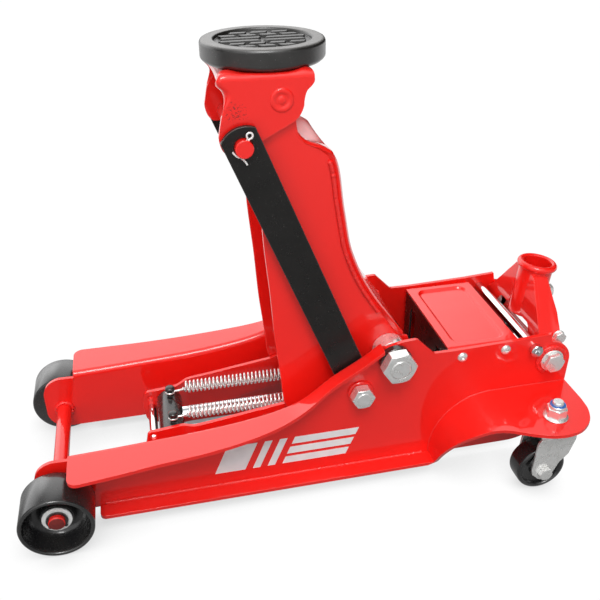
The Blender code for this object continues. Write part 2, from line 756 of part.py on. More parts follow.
def build_arm():
    plates = [arm_plate(f"arm_plate_{label}", side) for label, side in SIDES]
    arm = paint_all(plates + [arm_top_plate("arm_top_plate"), arm_hub("arm_hub")], "red_paint")
    group("arm_axis", (MAIN[0], 0, MAIN[1]), arm)
    bars = paint_all([link_bar(f"link_bar_{label}", side) for label, side in SIDES], "black_paint")
    group("link_axis", (LINK_LOW[0], 0, LINK_LOW[1]), bars)
    bracket = paint_all([saddle_bracket("saddle_bracket"), saddle_pin("saddle_pivot_pin"),
                         link_pin("link_pin")], "red_paint")
    bracket += paint_all([cotter_pin(f"cotter_pin_{label}", side) for label, side in SIDES], "zinc")
    group("bracket_axis", (TIP[0], 0, TIP[1]), bracket)
    pad = paint_all([saddle("saddle")], "rubber")
    group("saddle_axis", (SADDLE_X, 0, SADDLE_TOP), pad)


def build_ram():
    moving = paint_all([ram_rod("ram_rod")], "chrome") + paint_all([crosshead("crosshead")], "black_steel")
    group("ram_axis", (CROSS_X, 0, RAM_Z), moving)
    plates = [pull_link(f"pull_link_{label}", side) for label, side in SIDES]
    links = paint_all(plates, "red_paint") + paint_all([front_tie_pin("front_tie_pin")], "chrome")
    group("pull_link_axis", (CROSS_X, 0, RAM_Z), links)


def build_handle():
    socket = paint_all([handle_socket("handle_socket")], "red_paint")
    socket += paint_all([clamp_screw("handle_clamp_screw")], "zinc")
    group("socket_axis", (SOCKET[0], 0, SOCKET[1]), socket)
    plunger = paint_all([pump_plunger("pump_plunger")], "chrome")
    group("plunger_axis", (SOCKET[0], *PUMP), plunger)
    valve = paint_all([release_valve("release_valve")], "black_steel")
    group("valve_axis", (SOCKET[0], 0, 118), valve)


def main():
    for obj in list(bpy.data.objects):
        bpy.data.objects.remove(obj, do_unlink=True)
    build_chassis()
    build_wheels()
    build_arm()
    build_ram()
    build_handle()
    for obj in bpy.data.objects:
        if obj.parent is None:
            obj.location.x -= MIDDLE_X * MM


main()
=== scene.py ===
"""Looks of the hydraulic floor jack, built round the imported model.

Lengths are millimetres. X counts from the front wheels' axle and grows towards the handle
socket, Z = 0 is the floor, and "left" is the -Y side. Pivots come from the frame's joints.
"""

import json
from math import asin, atan2, cos, degrees, exp, hypot, pi, radians, sin, sqrt, tau

import bmesh
import bpy
from mathutils import Matrix, Vector, noise

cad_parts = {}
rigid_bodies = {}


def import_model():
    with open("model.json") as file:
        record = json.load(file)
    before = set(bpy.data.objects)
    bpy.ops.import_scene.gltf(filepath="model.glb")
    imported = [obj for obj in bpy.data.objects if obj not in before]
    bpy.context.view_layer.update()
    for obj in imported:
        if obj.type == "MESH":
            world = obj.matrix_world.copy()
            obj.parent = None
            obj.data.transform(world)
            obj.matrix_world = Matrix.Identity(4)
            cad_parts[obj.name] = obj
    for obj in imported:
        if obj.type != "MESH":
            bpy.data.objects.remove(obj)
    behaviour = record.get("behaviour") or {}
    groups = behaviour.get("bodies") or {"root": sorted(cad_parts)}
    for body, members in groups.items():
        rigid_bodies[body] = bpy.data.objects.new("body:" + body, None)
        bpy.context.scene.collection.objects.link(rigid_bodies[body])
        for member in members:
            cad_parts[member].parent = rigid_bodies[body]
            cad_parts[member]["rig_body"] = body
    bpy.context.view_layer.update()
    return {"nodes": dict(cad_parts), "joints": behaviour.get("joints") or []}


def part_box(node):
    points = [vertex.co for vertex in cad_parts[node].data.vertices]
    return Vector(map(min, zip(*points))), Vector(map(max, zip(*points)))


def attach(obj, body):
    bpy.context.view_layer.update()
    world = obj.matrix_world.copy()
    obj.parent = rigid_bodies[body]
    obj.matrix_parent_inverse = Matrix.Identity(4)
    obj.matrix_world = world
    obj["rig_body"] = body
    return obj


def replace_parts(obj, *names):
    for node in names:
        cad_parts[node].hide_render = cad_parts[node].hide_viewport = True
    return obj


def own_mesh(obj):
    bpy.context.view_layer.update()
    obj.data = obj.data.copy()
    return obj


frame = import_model()

MM = 0.001
SIDES = (("left", -1), ("right", 1))
JOINTS = {j["name"]: j for j in frame["joints"]}
AXLE_X = JOINTS["front_wheel_spin_left"]["pos_m"][0] / MM


def pivot(joint):
    """(x, z) of a joint that turns about Y, in this file's units."""
    x, _, z = JOINTS[joint]["pos_m"]
    return (x / MM - AXLE_X, z / MM)


def box(node):
    """Lowest and highest corner of a CAD node, in this file's units."""
    low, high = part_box(node)
    shift = Vector((AXLE_X, 0, 0))
    return Vector(low) / MM - shift, Vector(high) / MM - shift


# ---- sizes ----

AXLE = pivot("front_wheel_spin_left")
MAIN = pivot("arm_lift")
TIP = pivot("saddle_level")
LINK_LOW = pivot("link_swing")
LINK_UP = (LINK_LOW[0] + TIP[0] - MAIN[0], LINK_LOW[1] + TIP[1] - MAIN[1])
SOCKET = pivot("socket_pump")
CROSS = pivot("pull_link_pivot")

WEB_OUT = box("link_pivot_bolt_right")[0].y + 15.2     # outer face of the side plates
SHEET = 4
WEB_IN = WEB_OUT - SHEET
ARM_IN, ARM_OUT = 46, 50
EAR_IN, EAR_OUT = 51, 55
SADDLE_LOW, SADDLE_HIGH = box("saddle")
SADDLE_R = (SADDLE_HIGH.x - SADDLE_LOW.x) / 2
SADDLE_X = (SADDLE_HIGH.x + SADDLE_LOW.x) / 2
SADDLE_TOP = SADDLE_HIGH.z
SADDLE_UNDER = SADDLE_TOP - 18.4
DECK_TOP = SADDLE_UNDER - 0.3
WING_TOP = box("foot_rail_left")[1].z

# ---- mesh helpers ----


def link_mesh(bm):
    """New object in the scene from a bmesh, which is freed."""
    mesh = bpy.data.meshes.new("piece")
    bm.to_mesh(mesh)
    bm.free()
    obj = bpy.data.objects.new("piece", mesh)
    bpy.context.scene.collection.objects.link(obj)
    return obj


def add_object(bm):
    """Object from a bmesh in this file's units, clean and facing out."""
    bmesh.ops.remove_doubles(bm, verts=bm.verts, dist=0.0005)
    bmesh.ops.recalc_face_normals(bm, faces=bm.faces)
    for v in bm.verts:
        v.co = Vector((v.co.x + AXLE_X, v.co.y, v.co.z)) * MM
    return link_mesh(bm)


def on_axis(axis, u, v, w):
    """Point with w along the named axis and (u, v) on the other two, in XYZ order."""
    return {"X": (w, u, v), "Y": (u, w, v), "Z": (u, v, w)}[axis]


def loft(rings, capped=True, closed=True):
    """Skin through rings of equal length. closed joins each ring's last point to its first."""
    bm = bmesh.new()
    made = [[bm.verts.new(p) for p in ring] for ring in rings]
    count = len(made[0]) if closed else len(made[0]) - 1
    for a, b in zip(made, made[1:]):
        for i in range(count):
            j = (i + 1) % len(a)
            bm.faces.new((a[i], a[j], b[j], b[i]))
    if capped:
        bm.faces.new(made[0])
        bm.faces.new(made[-1])
    return add_object(bm)


def prism(outline, low, high, axis="Y"):
    return loft([[on_axis(axis, u, v, w) for u, v in outline] for w in (low, high)])


def turned(profile, centre, axis="Y", steps=64):
    """Profile of (radius, distance) turned round an axis; open at the axis means solid."""
    bm = bmesh.new()
    rings = []
    for r, w in profile:
        count = steps if r > 1e-6 else 1
        turn = [tau * k / steps for k in range(count)]
        spots = [(centre[0] + r * cos(a), centre[1] + r * sin(a)) for a in turn]
        rings.append([bm.verts.new(on_axis(axis, u, v, w)) for u, v in spots])
    pairs = list(zip(rings, rings[1:]))
    if profile[0][0] > 1e-6:
        pairs.append((rings[-1], rings[0]))
    for a, b in pairs:
        for k in range(steps):
            n = (k + 1) % steps
            corners = [a[k % len(a)], a[n % len(a)], b[n % len(b)], b[k % len(b)]]
            bm.faces.new(list(dict.fromkeys(corners)))
    return add_object(bm)


def rod(r, centre, low, high, axis="Y", steps=48):
    return turned([(0, low), (r, low), (r, high), (0, high)], centre, axis, steps)


def wire(points, radii, sides=8):
    """Round wire along points, with one radius for each point or one for all."""
    if not isinstance(radii, list):
        radii = [radii] * len(points)
    rings = []
    side = Vector((0.13, 0.21, 0.97))
    for i, (p, r) in enumerate(zip(points, radii)):
        ahead = Vector(points[min(i + 1, len(points) - 1)])
        behind = Vector(points[max(i - 1, 0)])
        along = (ahead - behind).normalized()
        side = (side - along * side.dot(along)).normalized()
        other = along.cross(side)
        turn = [tau * k / sides for k in range(sides)]
        rings.append([Vector(p) + r * (cos(a) * side + sin(a) * other) for a in turn])
    return loft(rings)


def combine(obj, other, operation):
    """Boolean obj with other, keep the result in obj and remove other."""
    step = obj.modifiers.new("join", "BOOLEAN")
    step.operation = operation
    step.solver = "EXACT"
    step.object = other
    bpy.context.view_layer.update()
    graph = bpy.context.evaluated_depsgraph_get()
    mesh = bpy.data.meshes.new_from_object(obj.evaluated_get(graph))
    obj.modifiers.clear()
    obj.data = mesh
    bpy.data.objects.remove(other, do_unlink=True)
    return obj


def join(obj, other):
    return combine(obj, other, "UNION")


def drill(obj, r, centre, low, high, axis="Y", steps=48):
    return combine(obj, rod(r, centre, low, high, axis, steps), "DIFFERENCE")


def merge(objects):
    """One object from several shells that overlap where they are welded or pressed together."""
    bm = bmesh.new()
    for obj in objects:
        bm.from_mesh(obj.data)
        bpy.data.objects.remove(obj, do_unlink=True)
    return link_mesh(bm)


def span(side, a, b):
    """The low and high Y of a piece between |y| = a and b on one side."""
    return sorted((side * a, side * b))


def arc(centre, r, start, end, steps):
    """Points on an arc, angles in degrees."""
    turn = [radians(start + (end - start) * k / steps) for k in range(steps + 1)]
    return [(centre[0] + r * cos(a), centre[1] + r * sin(a)) for a in turn]


def spline(points, per=6):
    """Smooth run through points (Catmull-Rom), with per steps between neighbours."""
    out = []
    count = len(points)
    for i in range(count - 1):
        p0, p1 = points[max(i - 1, 0)], points[i]
        p2, p3 = points[i + 1], points[min(i + 2, count - 1)]
        for k in range(per):
            t = k / per
            weights = (-0.5 * t + t * t - 0.5 * t ** 3, 1 - 2.5 * t * t + 1.5 * t ** 3, 0.5 * t
                       + 2 * t * t - 1.5 * t ** 3, -0.5 * t * t + 0.5 * t ** 3)
            out.append(tuple(sum(w * p[a] for w, p in zip(weights, (p0, p1, p2, p3)))
                             for a in range(len(p1))))
    return out + [tuple(points[-1])]


def at(points, x):
    """Height of a run of (x, height) points at x, straight between neighbours."""
    for (xa, ya), (xb, yb) in zip(points, points[1:]):
        if x <= xb:
            return ya + (yb - ya) * max(0, (x - xa) / (xb - xa))
    return points[-1][1]


def left_normals(points):
    """Unit normal to the left of a run of (x, z) points, one for each."""
    out = []
    for i in range(len(points)):
        ax, az = points[max(i - 1, 0)]
        bx, bz = points[min(i + 1, len(points) - 1)]
        length = hypot(bx - ax, bz - az)
        out.append((-(bz - az) / length, (bx - ax) / length))
    return out


def ease(share):
    """0 to 1 with a soft start and end, held outside."""
    t = min(max(share, 0), 1)
    return t * t * (3 - 2 * t)


def flip(profile, side):
    """Turned profile on one side of the jack, mirrored on the left."""
    return [(r, side * w) for r, w in profile]


def both_ends(half):
    """Profile of a round piece that has the same two ends."""
    return flip(half, -1) + half[::-1]


def mirrored(half):
    """Outline that is the same at -y, from its part at +y."""
    return half + [(-y, z) for y, z in half[::-1]]


def hexagon(centre, across, turn=0):
    return arc(centre, across / sqrt(3), turn, turn + 300, 5)


def move_points(obj, rule):
    """Give every point of a mesh, in this file's units, a new place by rule(x, y, z)."""
    for v in obj.data.vertices:
        x, y, z = v.co.x / MM - AXLE_X, v.co.y / MM, v.co.z / MM
        nx, ny, nz = rule(x, y, z)
        v.co = ((nx + AXLE_X) * MM, ny * MM, nz * MM)
    return obj


def cut_lines(obj, origin, along, distances):
    """Split a mesh's faces along planes, so that it can bend there."""
    bm = bmesh.new()
    bm.from_mesh(obj.data)
    normal = Vector(along).normalized()
    start = Vector((origin[0] + AXLE_X, origin[1], origin[2])) * MM
    for d in distances:
        geom = bm.verts[:] + bm.edges[:] + bm.faces[:]
        bmesh.ops.bisect_plane(bm, geom=geom, plane_co=start + normal * d * MM, plane_no=normal)
    bm.to_mesh(obj.data)
    bm.free()
    return obj


# ---- materials ----


class Nodes:
    """Short way to write the node tree of a new material or world."""

    def __init__(self, name, kind="materials"):
        self.owner = getattr(bpy.data, kind).new(name)
        self.owner.use_nodes = True
        self.tree = self.owner.node_tree
        self.place = self.add("TexCoord").outputs["Object"]

    def add(self, kind, inputs=None, **settings):
        node = self.tree.nodes.new("ShaderNode" + kind)
        for key, value in settings.items():
            setattr(node, key, value)
        for key, value in (inputs or {}).items():
            self.feed(node.inputs[key], value)
        return node

    def feed(self, socket, value):
        """Link or set an input. A colour may leave out its alpha."""
        if isinstance(value, bpy.types.NodeSocket):
            self.tree.links.new(value, socket)
        else:
            socket.default_value = (*value, 1) if socket.type == "RGBA" else value

    def noise(self, scale, detail=3, roughness=0.5, stretch=None):
        place = self.place
        if stretch:
            place = self.add("Mapping", {"Vector": place, "Scale": stretch}).outputs[0]
        inputs = {"Vector": place, "Scale": scale, "Detail": detail, "Roughness": roughness}
        return self.add("TexNoise", inputs).outputs["Fac"]

    def ramp(self, value, low, high, out_low=0, out_high=1, kind="LINEAR"):
        inputs = {"Value": value, "From Min": low, "From Max": high, "To Min": out_low,
                  "To Max": out_high}
        return self.add("MapRange", inputs, interpolation_type=kind).outputs[0]

    def math(self, operation, a, b):
        return self.add("Math", {0: a, 1: b}, operation=operation).outputs[0]

    def measure(self, operation, a, b):
        """Vector operation that gives one number: DISTANCE or DOT_PRODUCT."""
        return self.add("VectorMath", {0: a, 1: b}, operation=operation).outputs["Value"]

    def part(self, vector, axis):
        return self.add("SeparateXYZ", {"Vector": vector}).outputs[axis]

    def mix(self, share, a, b):
        node = self.add("Mix", {"Factor": share}, data_type="RGBA")
        for key, value in (("A", a), ("B", b)):
            self.feed([s for s in node.inputs if s.name == key and s.type == "RGBA"][0], value)
        return [s for s in node.outputs if s.type == "RGBA"][0]

    def over(self, colour, mask, share, tone):
        """colour with a share of tone where mask is 1."""
        return self.mix(self.math("MULTIPLY", mask, share), colour, tone)

    def edge(self, width):
        """1 on convex edges and corners, 0 on flat faces, over width metres."""
        round_normal = self.add("Bevel", {"Radius": width}, samples=4).outputs[0]
        flat = self.add("NewGeometry").outputs["True Normal"]
        return self.ramp(self.measure("DOT_PRODUCT", round_normal, flat), 0.995, 0.80)

    def bump(self, height, strength, distance):
        inputs = {"Height": height, "Strength": strength, "Distance": distance}
        return self.add("Bump", inputs).outputs[0]

    def finish(self, colour, roughness, normal, **values):
        inputs = self.tree.nodes["Principled BSDF"].inputs
        values.update(Base_Color=colour, Roughness=roughness, Normal=normal)
        for key, value in values.items():
            self.feed(inputs[key.replace("_", " ")], value)
        return self.owner


def red_paint(name="red_paint", scuff=None):
    """Glossy red paint, chipped round the point scuff if there is one."""
    n = Nodes(name)
    broad, fine = n.noise(9, 2), n.noise(70, 4)
    colour = n.mix(n.ramp(broad, 0.3, 0.7), (0.88, 0.0115, 0.0070), (0.93, 0.0135, 0.0088))
    colour = n.mix(n.ramp(fine, 0.62, 0.8, 0, 0.2), colour, (0.80, 0.008, 0.005))
    # Paler pink along convex edges: a painted highlight.
    colour = n.over(colour, n.edge(0.0009), 0.30, (0.95, 0.16, 0.13))
    if scuff:
        near = n.ramp(n.measure("DISTANCE", n.place, scuff), 0.016, 0.004)
        worn = n.math("ADD", n.noise(420, 4, 0.8), n.math("MULTIPLY", near, 0.14))
        colour = n.over(colour, n.ramp(worn, 0.66, 0.72), near, (0.10, 0.012, 0.010))
    rough = n.ramp(n.noise(38, 5), 0.3, 0.75, 0.30, 0.40)
    peel = n.math("ADD", n.noise(620, 2), n.math("MULTIPLY", n.noise(55, 2), 2))
    normal = n.bump(peel, 0.05, 0.0004)
    return n.finish(colour, rough, normal, Coat_Weight=1, Coat_Roughness=0.035, Specular_IOR_Level=0.2)


BRACKET_SCUFF = (201, 406)         # x and z of the chipped paint on the left ear


def scuffed_paint():
    spot = Vector((BRACKET_SCUFF[0] + AXLE_X, -EAR_OUT, BRACKET_SCUFF[1])) * MM
    return red_paint("scuffed_paint", spot)


def shaded_axle_paint():
    """Axle ends: dark red that is painted shade, as they sit deep in the wheels' bowls, with brushed
    streaks.
    """
    n = Nodes("shaded_axle_paint")
    streak = n.noise(300, 4, 0.6)
    # These dark red tones are painted shade, not the paint's own colour.
    colour = n.mix(n.ramp(streak, 0.3, 0.7), (0.14, 0.012, 0.010), (0.22, 0.020, 0.016))
    return n.finish(colour, n.ramp(streak, 0.3, 0.7, 0.35, 0.55), n.bump(streak, 0.15, 0.0003))


def weld_paint():
    n = Nodes("weld_paint")
    speck = n.noise(900, 6, 0.7)
    colour = n.mix(n.ramp(speck, 0.55, 0.75, 0, 0.5), (0.86, 0.011, 0.008), (0.95, 0.28, 0.25))
    rough = n.ramp(speck, 0.3, 0.7, 0.25, 0.5)
    return n.finish(colour, rough, n.bump(speck, 0.5, 0.0006), Coat_Weight=0.4, Coat_Roughness=0.12)


def black_wheel():
    n = Nodes("black_wheel")
    cast = n.noise(330, 5, 0.65)
    speck = n.ramp(n.noise(1300, 1), 0.735, 0.76)
    colour = n.mix(n.ramp(n.noise(30), 0.3, 0.7), (0.010, 0.010, 0.011), (0.020, 0.019, 0.018))
    colour = n.over(colour, speck, 0.45, (0.30, 0.29, 0.27))
    colour = n.over(colour, n.edge(0.0012), 0.30, (0.12, 0.12, 0.12))
    rough = n.ramp(cast, 0.3, 0.7, 0.18, 0.30)
    return n.finish(colour, rough, n.bump(cast, 0.14, 0.0006), Coat_Weight=0.7, Coat_Roughness=0.10)


def black_paint():
    n = Nodes("black_paint")
    grain = n.noise(1500, 3, 0.6)
    speck = n.ramp(n.noise(1050, 1), 0.745, 0.765)
    cloud = n.ramp(n.noise(24, 4), 0.3, 0.7)
    colour = n.mix(cloud, (0.0062, 0.0058, 0.0053), (0.0120, 0.0112, 0.0104))
    colour = n.over(colour, speck, 0.45, (0.20, 0.19, 0.18))
    colour = n.over(colour, n.edge(0.0007), 0.8, (0.26, 0.24, 0.23))
    rough = n.ramp(n.noise(90, 5), 0.3, 0.7, 0.24, 0.36)
    return n.finish(colour, rough, n.bump(grain, 0.16, 0.0003), Specular_IOR_Level=0.42)


def black_steel():
    n = Nodes("black_steel")
    stain = n.noise(120, 5, 0.6)
    colour = n.mix(n.ramp(stain, 0.35, 0.7), (0.016, 0.016, 0.017), (0.045, 0.042, 0.040))
    colour = n.over(colour, n.edge(0.0008), 0.5, (0.25, 0.24, 0.23))
    rough = n.ramp(stain, 0.3, 0.7, 0.16, 0.34)
    return n.finish(colour, rough, n.bump(n.noise(700), 0.10, 0.0003), Metallic=0.35, Coat_Weight=0.5,
                    Coat_Roughness=0.1)


def bright_zinc():
    return zinc("bright_zinc", 0.15)


def zinc(name="zinc", metallic=0.72):
    n = Nodes(name)
    cloud, grain = n.noise(160, 4), n.noise(1700, 4, 0.7)
    colour = n.mix(n.ramp(cloud, 0.3, 0.7), (0.96, 0.96, 0.95), (0.84, 0.84, 0.82))
    colour = n.mix(n.ramp(grain, 0.6, 0.8, 0, 0.12), colour, (0.42, 0.42, 0.42))
    rough = n.ramp(cloud, 0.3, 0.7, 0.17, 0.30)
    return n.finish(colour, rough, n.bump(grain, 0.05, 0.0002), Metallic=metallic)


def chrome():
    n = Nodes("chrome")
    streak = n.noise(260, 3, 0.6, stretch=(1, 0.06, 1))
    colour = n.mix(n.ramp(streak, 0.3, 0.7), (0.80, 0.81, 0.82), (0.70, 0.71, 0.73))
    rough = n.ramp(streak, 0.3, 0.7, 0.05, 0.13)
    return n.finish(colour, rough, n.bump(streak, 0.04, 0.0002), Metallic=1)


def rubber():
    """Black rubber, with a pale grey painted highlight on the upward-facing outer rim of the saddle."""
    n = Nodes("rubber")
    bloom, grain = n.noise(45, 5, 0.6), n.noise(1400, 4, 0.7)
    colour = n.mix(n.ramp(bloom, 0.35, 0.7), (0.0125, 0.0115, 0.0105), (0.0230, 0.0215, 0.0200))
    speck = n.ramp(n.noise(900, 1), 0.74, 0.76)
    colour = n.over(colour, speck, 0.5, (0.25, 0.25, 0.24))
    colour = n.over(colour, n.edge(0.0010), 0.35, (0.13, 0.13, 0.125))
    axis = {"X": (SADDLE_X + AXLE_X) * MM, "Y": 0, "Z": n.part(n.place, "Z")}
    axis = n.add("CombineXYZ", axis).outputs[0]
    up = n.part(n.add("NewGeometry").outputs["Normal"], "Z")
    # Pale grey on the upward-facing outer rim: a painted highlight.
    outer = n.ramp(n.measure("DISTANCE", n.place, axis), 0.0430, 0.0450, 0, 0.5)
    colour = n.over(colour, outer, n.ramp(up, 0.6, 0.95), (0.24, 0.23, 0.22))
    rough = n.ramp(bloom, 0.3, 0.7, 0.27, 0.38)
    return n.finish(colour, rough, n.bump(grain, 0.20, 0.0003), Specular_IOR_Level=1)


def vinyl():
    n = Nodes("vinyl")
    colour = n.mix(n.ramp(n.noise(60, 4), 0.35, 0.7), (0.90, 0.90, 0.90), (0.80, 0.81, 0.82))
    return n.finish(colour, 0.3, n.bump(n.noise(500), 0.06, 0.0003), Coat_Weight=0.3)


def nylon():
    n = Nodes("nylon")
    colour = n.mix(n.ramp(n.noise(300, 3), 0.3, 0.7), (0.02, 0.10, 0.42), (0.04, 0.17, 0.55))
    return n.finish(colour, 0.4, n.bump(n.noise(1500), 0.1, 0.0002), Subsurface_Weight=0.1)


WHITE = 1.035                          # light that the camera sees as full white


def floor_paper():
    """White board that glows evenly white for the camera, with a soft painted contact shadow from
    ambient occlusion; glossy rays see a painted glow on it that gives the reflections, and its own
    colour is dark near the jack.
    """
    n = Nodes("floor_paper")
    far = n.ramp(n.measure("DISTANCE", n.place, (0, 0, 0)), 0.40, 0.85)
    cloud = n.ramp(n.noise(3, 4), 0.3, 0.7, 0.97, 1)
    board = n.tree.nodes["Principled BSDF"]
    n.feed(board.inputs["Base Color"], n.mix(far, (0.10, 0.10, 0.10), (0.85, 0.85, 0.85)))
    n.feed(board.inputs["Roughness"], 0.75)
    # Painted contact shadow: ambient occlusion darkens the glow that the camera sees.
    near = n.add("AmbientOcclusion", {"Distance": 0.07}, samples=12).outputs["AO"]
    shade = n.math("MULTIPLY", cloud, n.ramp(near, 0, 0.8, 0.55, WHITE))
    glow = n.add("Emission", {"Strength": shade})
    # Painted reflection: a glow that only glossy rays see, brighter behind the jack.
    mirrored_tone = n.math("ADD", n.ramp(n.part(n.place, "Y"), 0, 0.5, 0, 0.75),
                           n.ramp(far, 0, 1, 0.32, 0.40))
    sheen = n.add("Emission", {"Strength": mirrored_tone})
    rays = n.add("LightPath").outputs
    shader = board
    for ray, seen in (("Is Glossy Ray", sheen), ("Is Camera Ray", glow)):
        shader = n.add("MixShader", {0: rays[ray], 1: shader.outputs[0], 2: seen.outputs[0]})
    n.feed(n.tree.nodes["Material Output"].inputs["Surface"], shader.outputs[0])
    return n.owner


FINISHES = {make.__name__: make() for make in (red_paint, scuffed_paint, shaded_axle_paint, weld_paint,
                                               black_wheel, black_paint, black_steel, zinc, bright_zinc,
                                               chrome, rubber, vinyl, nylon, floor_paper)}


def dress(obj, name, finish, body="chassis", bevel=0, segments=2, sharp=35):
    """Name, round, smooth and paint a piece, and let it ride on a body."""
    obj.name = obj.data.name = name
    obj.data.materials.clear()
    obj.data.materials.append(FINISHES[finish])
    obj.data.shade_smooth()
    obj.data.set_sharp_from_angle(angle=radians(sharp))
    if bevel:
        edge = obj.modifiers.new("edges", "BEVEL")
        edge.width = bevel * MM
        edge.segments = segments
        edge.limit_method = "ANGLE"
        edge.angle_limit = radians(sharp)
        even = obj.modifiers.new("normals", "WEIGHTED_NORMAL")
        even.keep_sharp = True
    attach(obj, body)
    return obj


def skin(obj, node, finish, name=None, **edges):
    """Dress a piece that stands for a CAD node, on that node's body."""
    dress(obj, name or node + "_skin", finish, frame["nodes"][node]["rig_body"], **edges)
    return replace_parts(obj, node)


def bead(name, path, r, body, seed=0, ripple=1.7):
    """Painted weld bead along a path, its ripples ripple millimetres apart."""
    points, radii = [], []
    run = 0
    for a, b in zip(path, path[1:]):
        a, b = Vector(a), Vector(b)
        steps = max(1, int((b - a).length / 0.7))
        for k in range(steps):
            p = a.lerp(b, k / steps)
            run += (b - a).length / steps
            wobble = noise.noise(Vector((run * 0.35, seed, 0)))
            scale = 1 + 0.16 * abs(sin(pi * run / ripple)) + 0.3 * wobble
            points.append(p)
            radii.append(r * scale)
    radii[0] = radii[-1] = r * 0.4
    return dress(wire(points, radii), name, "weld_paint", body, sharp=60)


# ---- fasteners ----


def hex_solid(centre, across, low, high, axis="Y", turn=0, both=True):
    """Hexagon with its corners turned off at its faces, as on a nut or a bolt head."""
    r = across / sqrt(3)
    inner, fall = across / 2 * 0.965, (r - across / 2) * 0.62
    lower = [(inner, low), (r + 0.3, low + fall)] if both else [(r + 0.3, low)]
    profile = [(0, low)] + lower + [(r + 0.3, high - fall), (inner, high), (0, high)]
    body = turned(profile, centre, axis, 72)
    return combine(body, prism(hexagon(centre, across, turn), low - 1, high + 1, axis), "INTERSECT")


def thread(r, centre, low, high, axis="Y", pitch=1.25):
    """Shaft end with shallow rings for its thread."""
    rings = [(0, low), (r * 0.86, low)]
    count = int((high - low) / pitch)
    for k in range(count):
        w = low + pitch * (k + 0.25)
        rings += [(r, w), (r * 0.93, w + pitch * 0.5)]
    rings += [(r * 0.86, high), (0, high)]
    return turned(rings, centre, axis, 40)


# ---- chassis ----

TOP_EDGE = spline(((16, 84), (58, 85.7), (100, 88), (150, 91), (200, 97), (235, 105), (258, 116),
                   (281, 134), (312, 153), (333, 168)), 6)
FLANGE_EDGE = ((26, 116), (60, 113.5), (100, 110), (150, 107.5), (190, 104), (220, 99.5), (250, 93),
               (281, 89), (333, 88))
BEND = 6.5                     # outer radius of the top flange's bend


def axis_of(node):
    """(x, z) of the middle of a CAD node that lies along Y."""
    low, high = box(node)
    return ((low.x + high.x) / 2, (low.z + high.z) / 2)


COVER_SCREWS = (axis_of("cover_screw_front_left"), axis_of("cover_screw_rear_left"))
TIE_ROD = axis_of("rear_tie_rod")


def side_plate(label, side):
    nose = arc((2, 56), 22, 88, 180, 14) + arc((2, 33), 22, 180, 270, 14)
    heel = arc((490, 72), 61, 270, 352, 22)
    tail = arc((526, 114.5), 25.5, 0, 84, 14) + [(526.6, 141), (524.6, 150.6)]
    crest = [(488, 148.2), (414, 146), (394, 146.2), (392, 147)] + arc((370.5, 160), 6.4, 46, 96, 6)
    crest += [(362, 166), (354, 165), (343, 161.6), (340, 161.2), (337, 162.3)]
    drop = [(x, z - BEND - 6) for x, z in TOP_EDGE[::-1]]
    outline = nose + heel + tail + crest + drop + [(15.6, 77.6)]
    web = prism(outline, *span(side, WEB_IN, WEB_OUT))
    join(web, flange(side))
    low, high = span(side, WEB_IN - 5, WEB_OUT + 5)
    for centre, r in ((AXLE, 8.2), (MAIN, 11), (LINK_LOW, 7.2), (SOCKET, 6.2)):
        drill(web, r, centre, low, high)
    skin(web, f"side_plate_{label}", "red_paint", bevel=0.7)


def flange(side):
    """Top flange with its bend, as L-shaped sections along the top edge."""
    front = [(16 + 10 * (1 - cos(a)), 106 + 10 * sin(a)) for a in (pi / 2 * k / 8 for k in range(9))]
    edge = front[:-1] + list(spline(FLANGE_EDGE, 6))
    stations = sorted({x for x, _ in TOP_EDGE} | {x for x, _ in front})
    middle = WEB_IN + BEND
    rings = []
    for x in stations:
        z, y_out = at(TOP_EDGE, x), at(edge, x)
        section = [(WEB_IN, z - BEND - 9)]
        section += arc((middle, z - BEND), BEND, 180, 90, 8)
        section += [(y_out, z), (y_out, z - SHEET)]
        section += arc((middle, z - BEND), BEND - SHEET, 90, 180, 6)
        section += [(WEB_OUT, z - BEND - 9)]
        rings.append([(x, side * y, h) for y, h in section])
    return loft(rings)


RAIL_BEND = ((463, 20), 67)


def rail_stations():
    """(x, z, normal x, normal z, outer |y|) along the foot rail's top face."""
    (cx, cz), r = RAIL_BEND
    out = []
    for k in range(7):
        a = pi / 2 * k / 6
        out.append((38 + 6 * (1 - cos(a)), 14, 0, 1, 85 + 6 * sin(a)))
    out += [(120, 14, 0, 1, 91), (250, 14, 0, 1, 91), (390, 14, 0, 1, 91)]
    width = spline(((0, 92), (0.1, 99), (0.35, 113), (0.6, 125.5), (0.83, 134), (1, 144)), 5)
    for k in range(33):
        share = k / 32
        a = radians(185 - 95 * share)
        out.append((cx + r * cos(a), cz + r * sin(a), cos(a), sin(a), at(width, share)))
    for x, y in spline(((463, 144), (475, 150), (488, 155.5), (500, 158.2), (511, 158.3), (522, 156),
                        (531, 151.5), (540, 143.5), (546, 133), (549.5, 122), (551, 107)), 4)[1:]:
        out.append((x, WING_TOP, 0, 1, y))
    return out


def foot_rail(label, side):
    inner = WEB_OUT + 0.1
    rings = []
    for x, z, nx, nz, y in rail_stations():
        xb, zb = x - SHEET * nx, z - SHEET * nz
        rings.append([(x, side * inner, z), (x, side * y, z), (xb, side * y, zb),
                      (xb, side * inner, zb)])
    rail = loft(rings)
    skin(rail, f"foot_rail_{label}", "red_paint", bevel=0.8, sharp=40)
    seam = [(x, side * (WEB_OUT + 0.2), z + 0.2) for x, z, *_ in rail_stations() if 42 < x < 392]
    bead(f"rail_weld_{label}", seam, 1.5, "chassis", side)
    climb = [(x, side * (WEB_OUT + 0.1), z + 0.1) for x, z, *_ in rail_stations() if x > 396]
    bead(f"wing_weld_{label}", climb, 0.8, "chassis", side + 5)


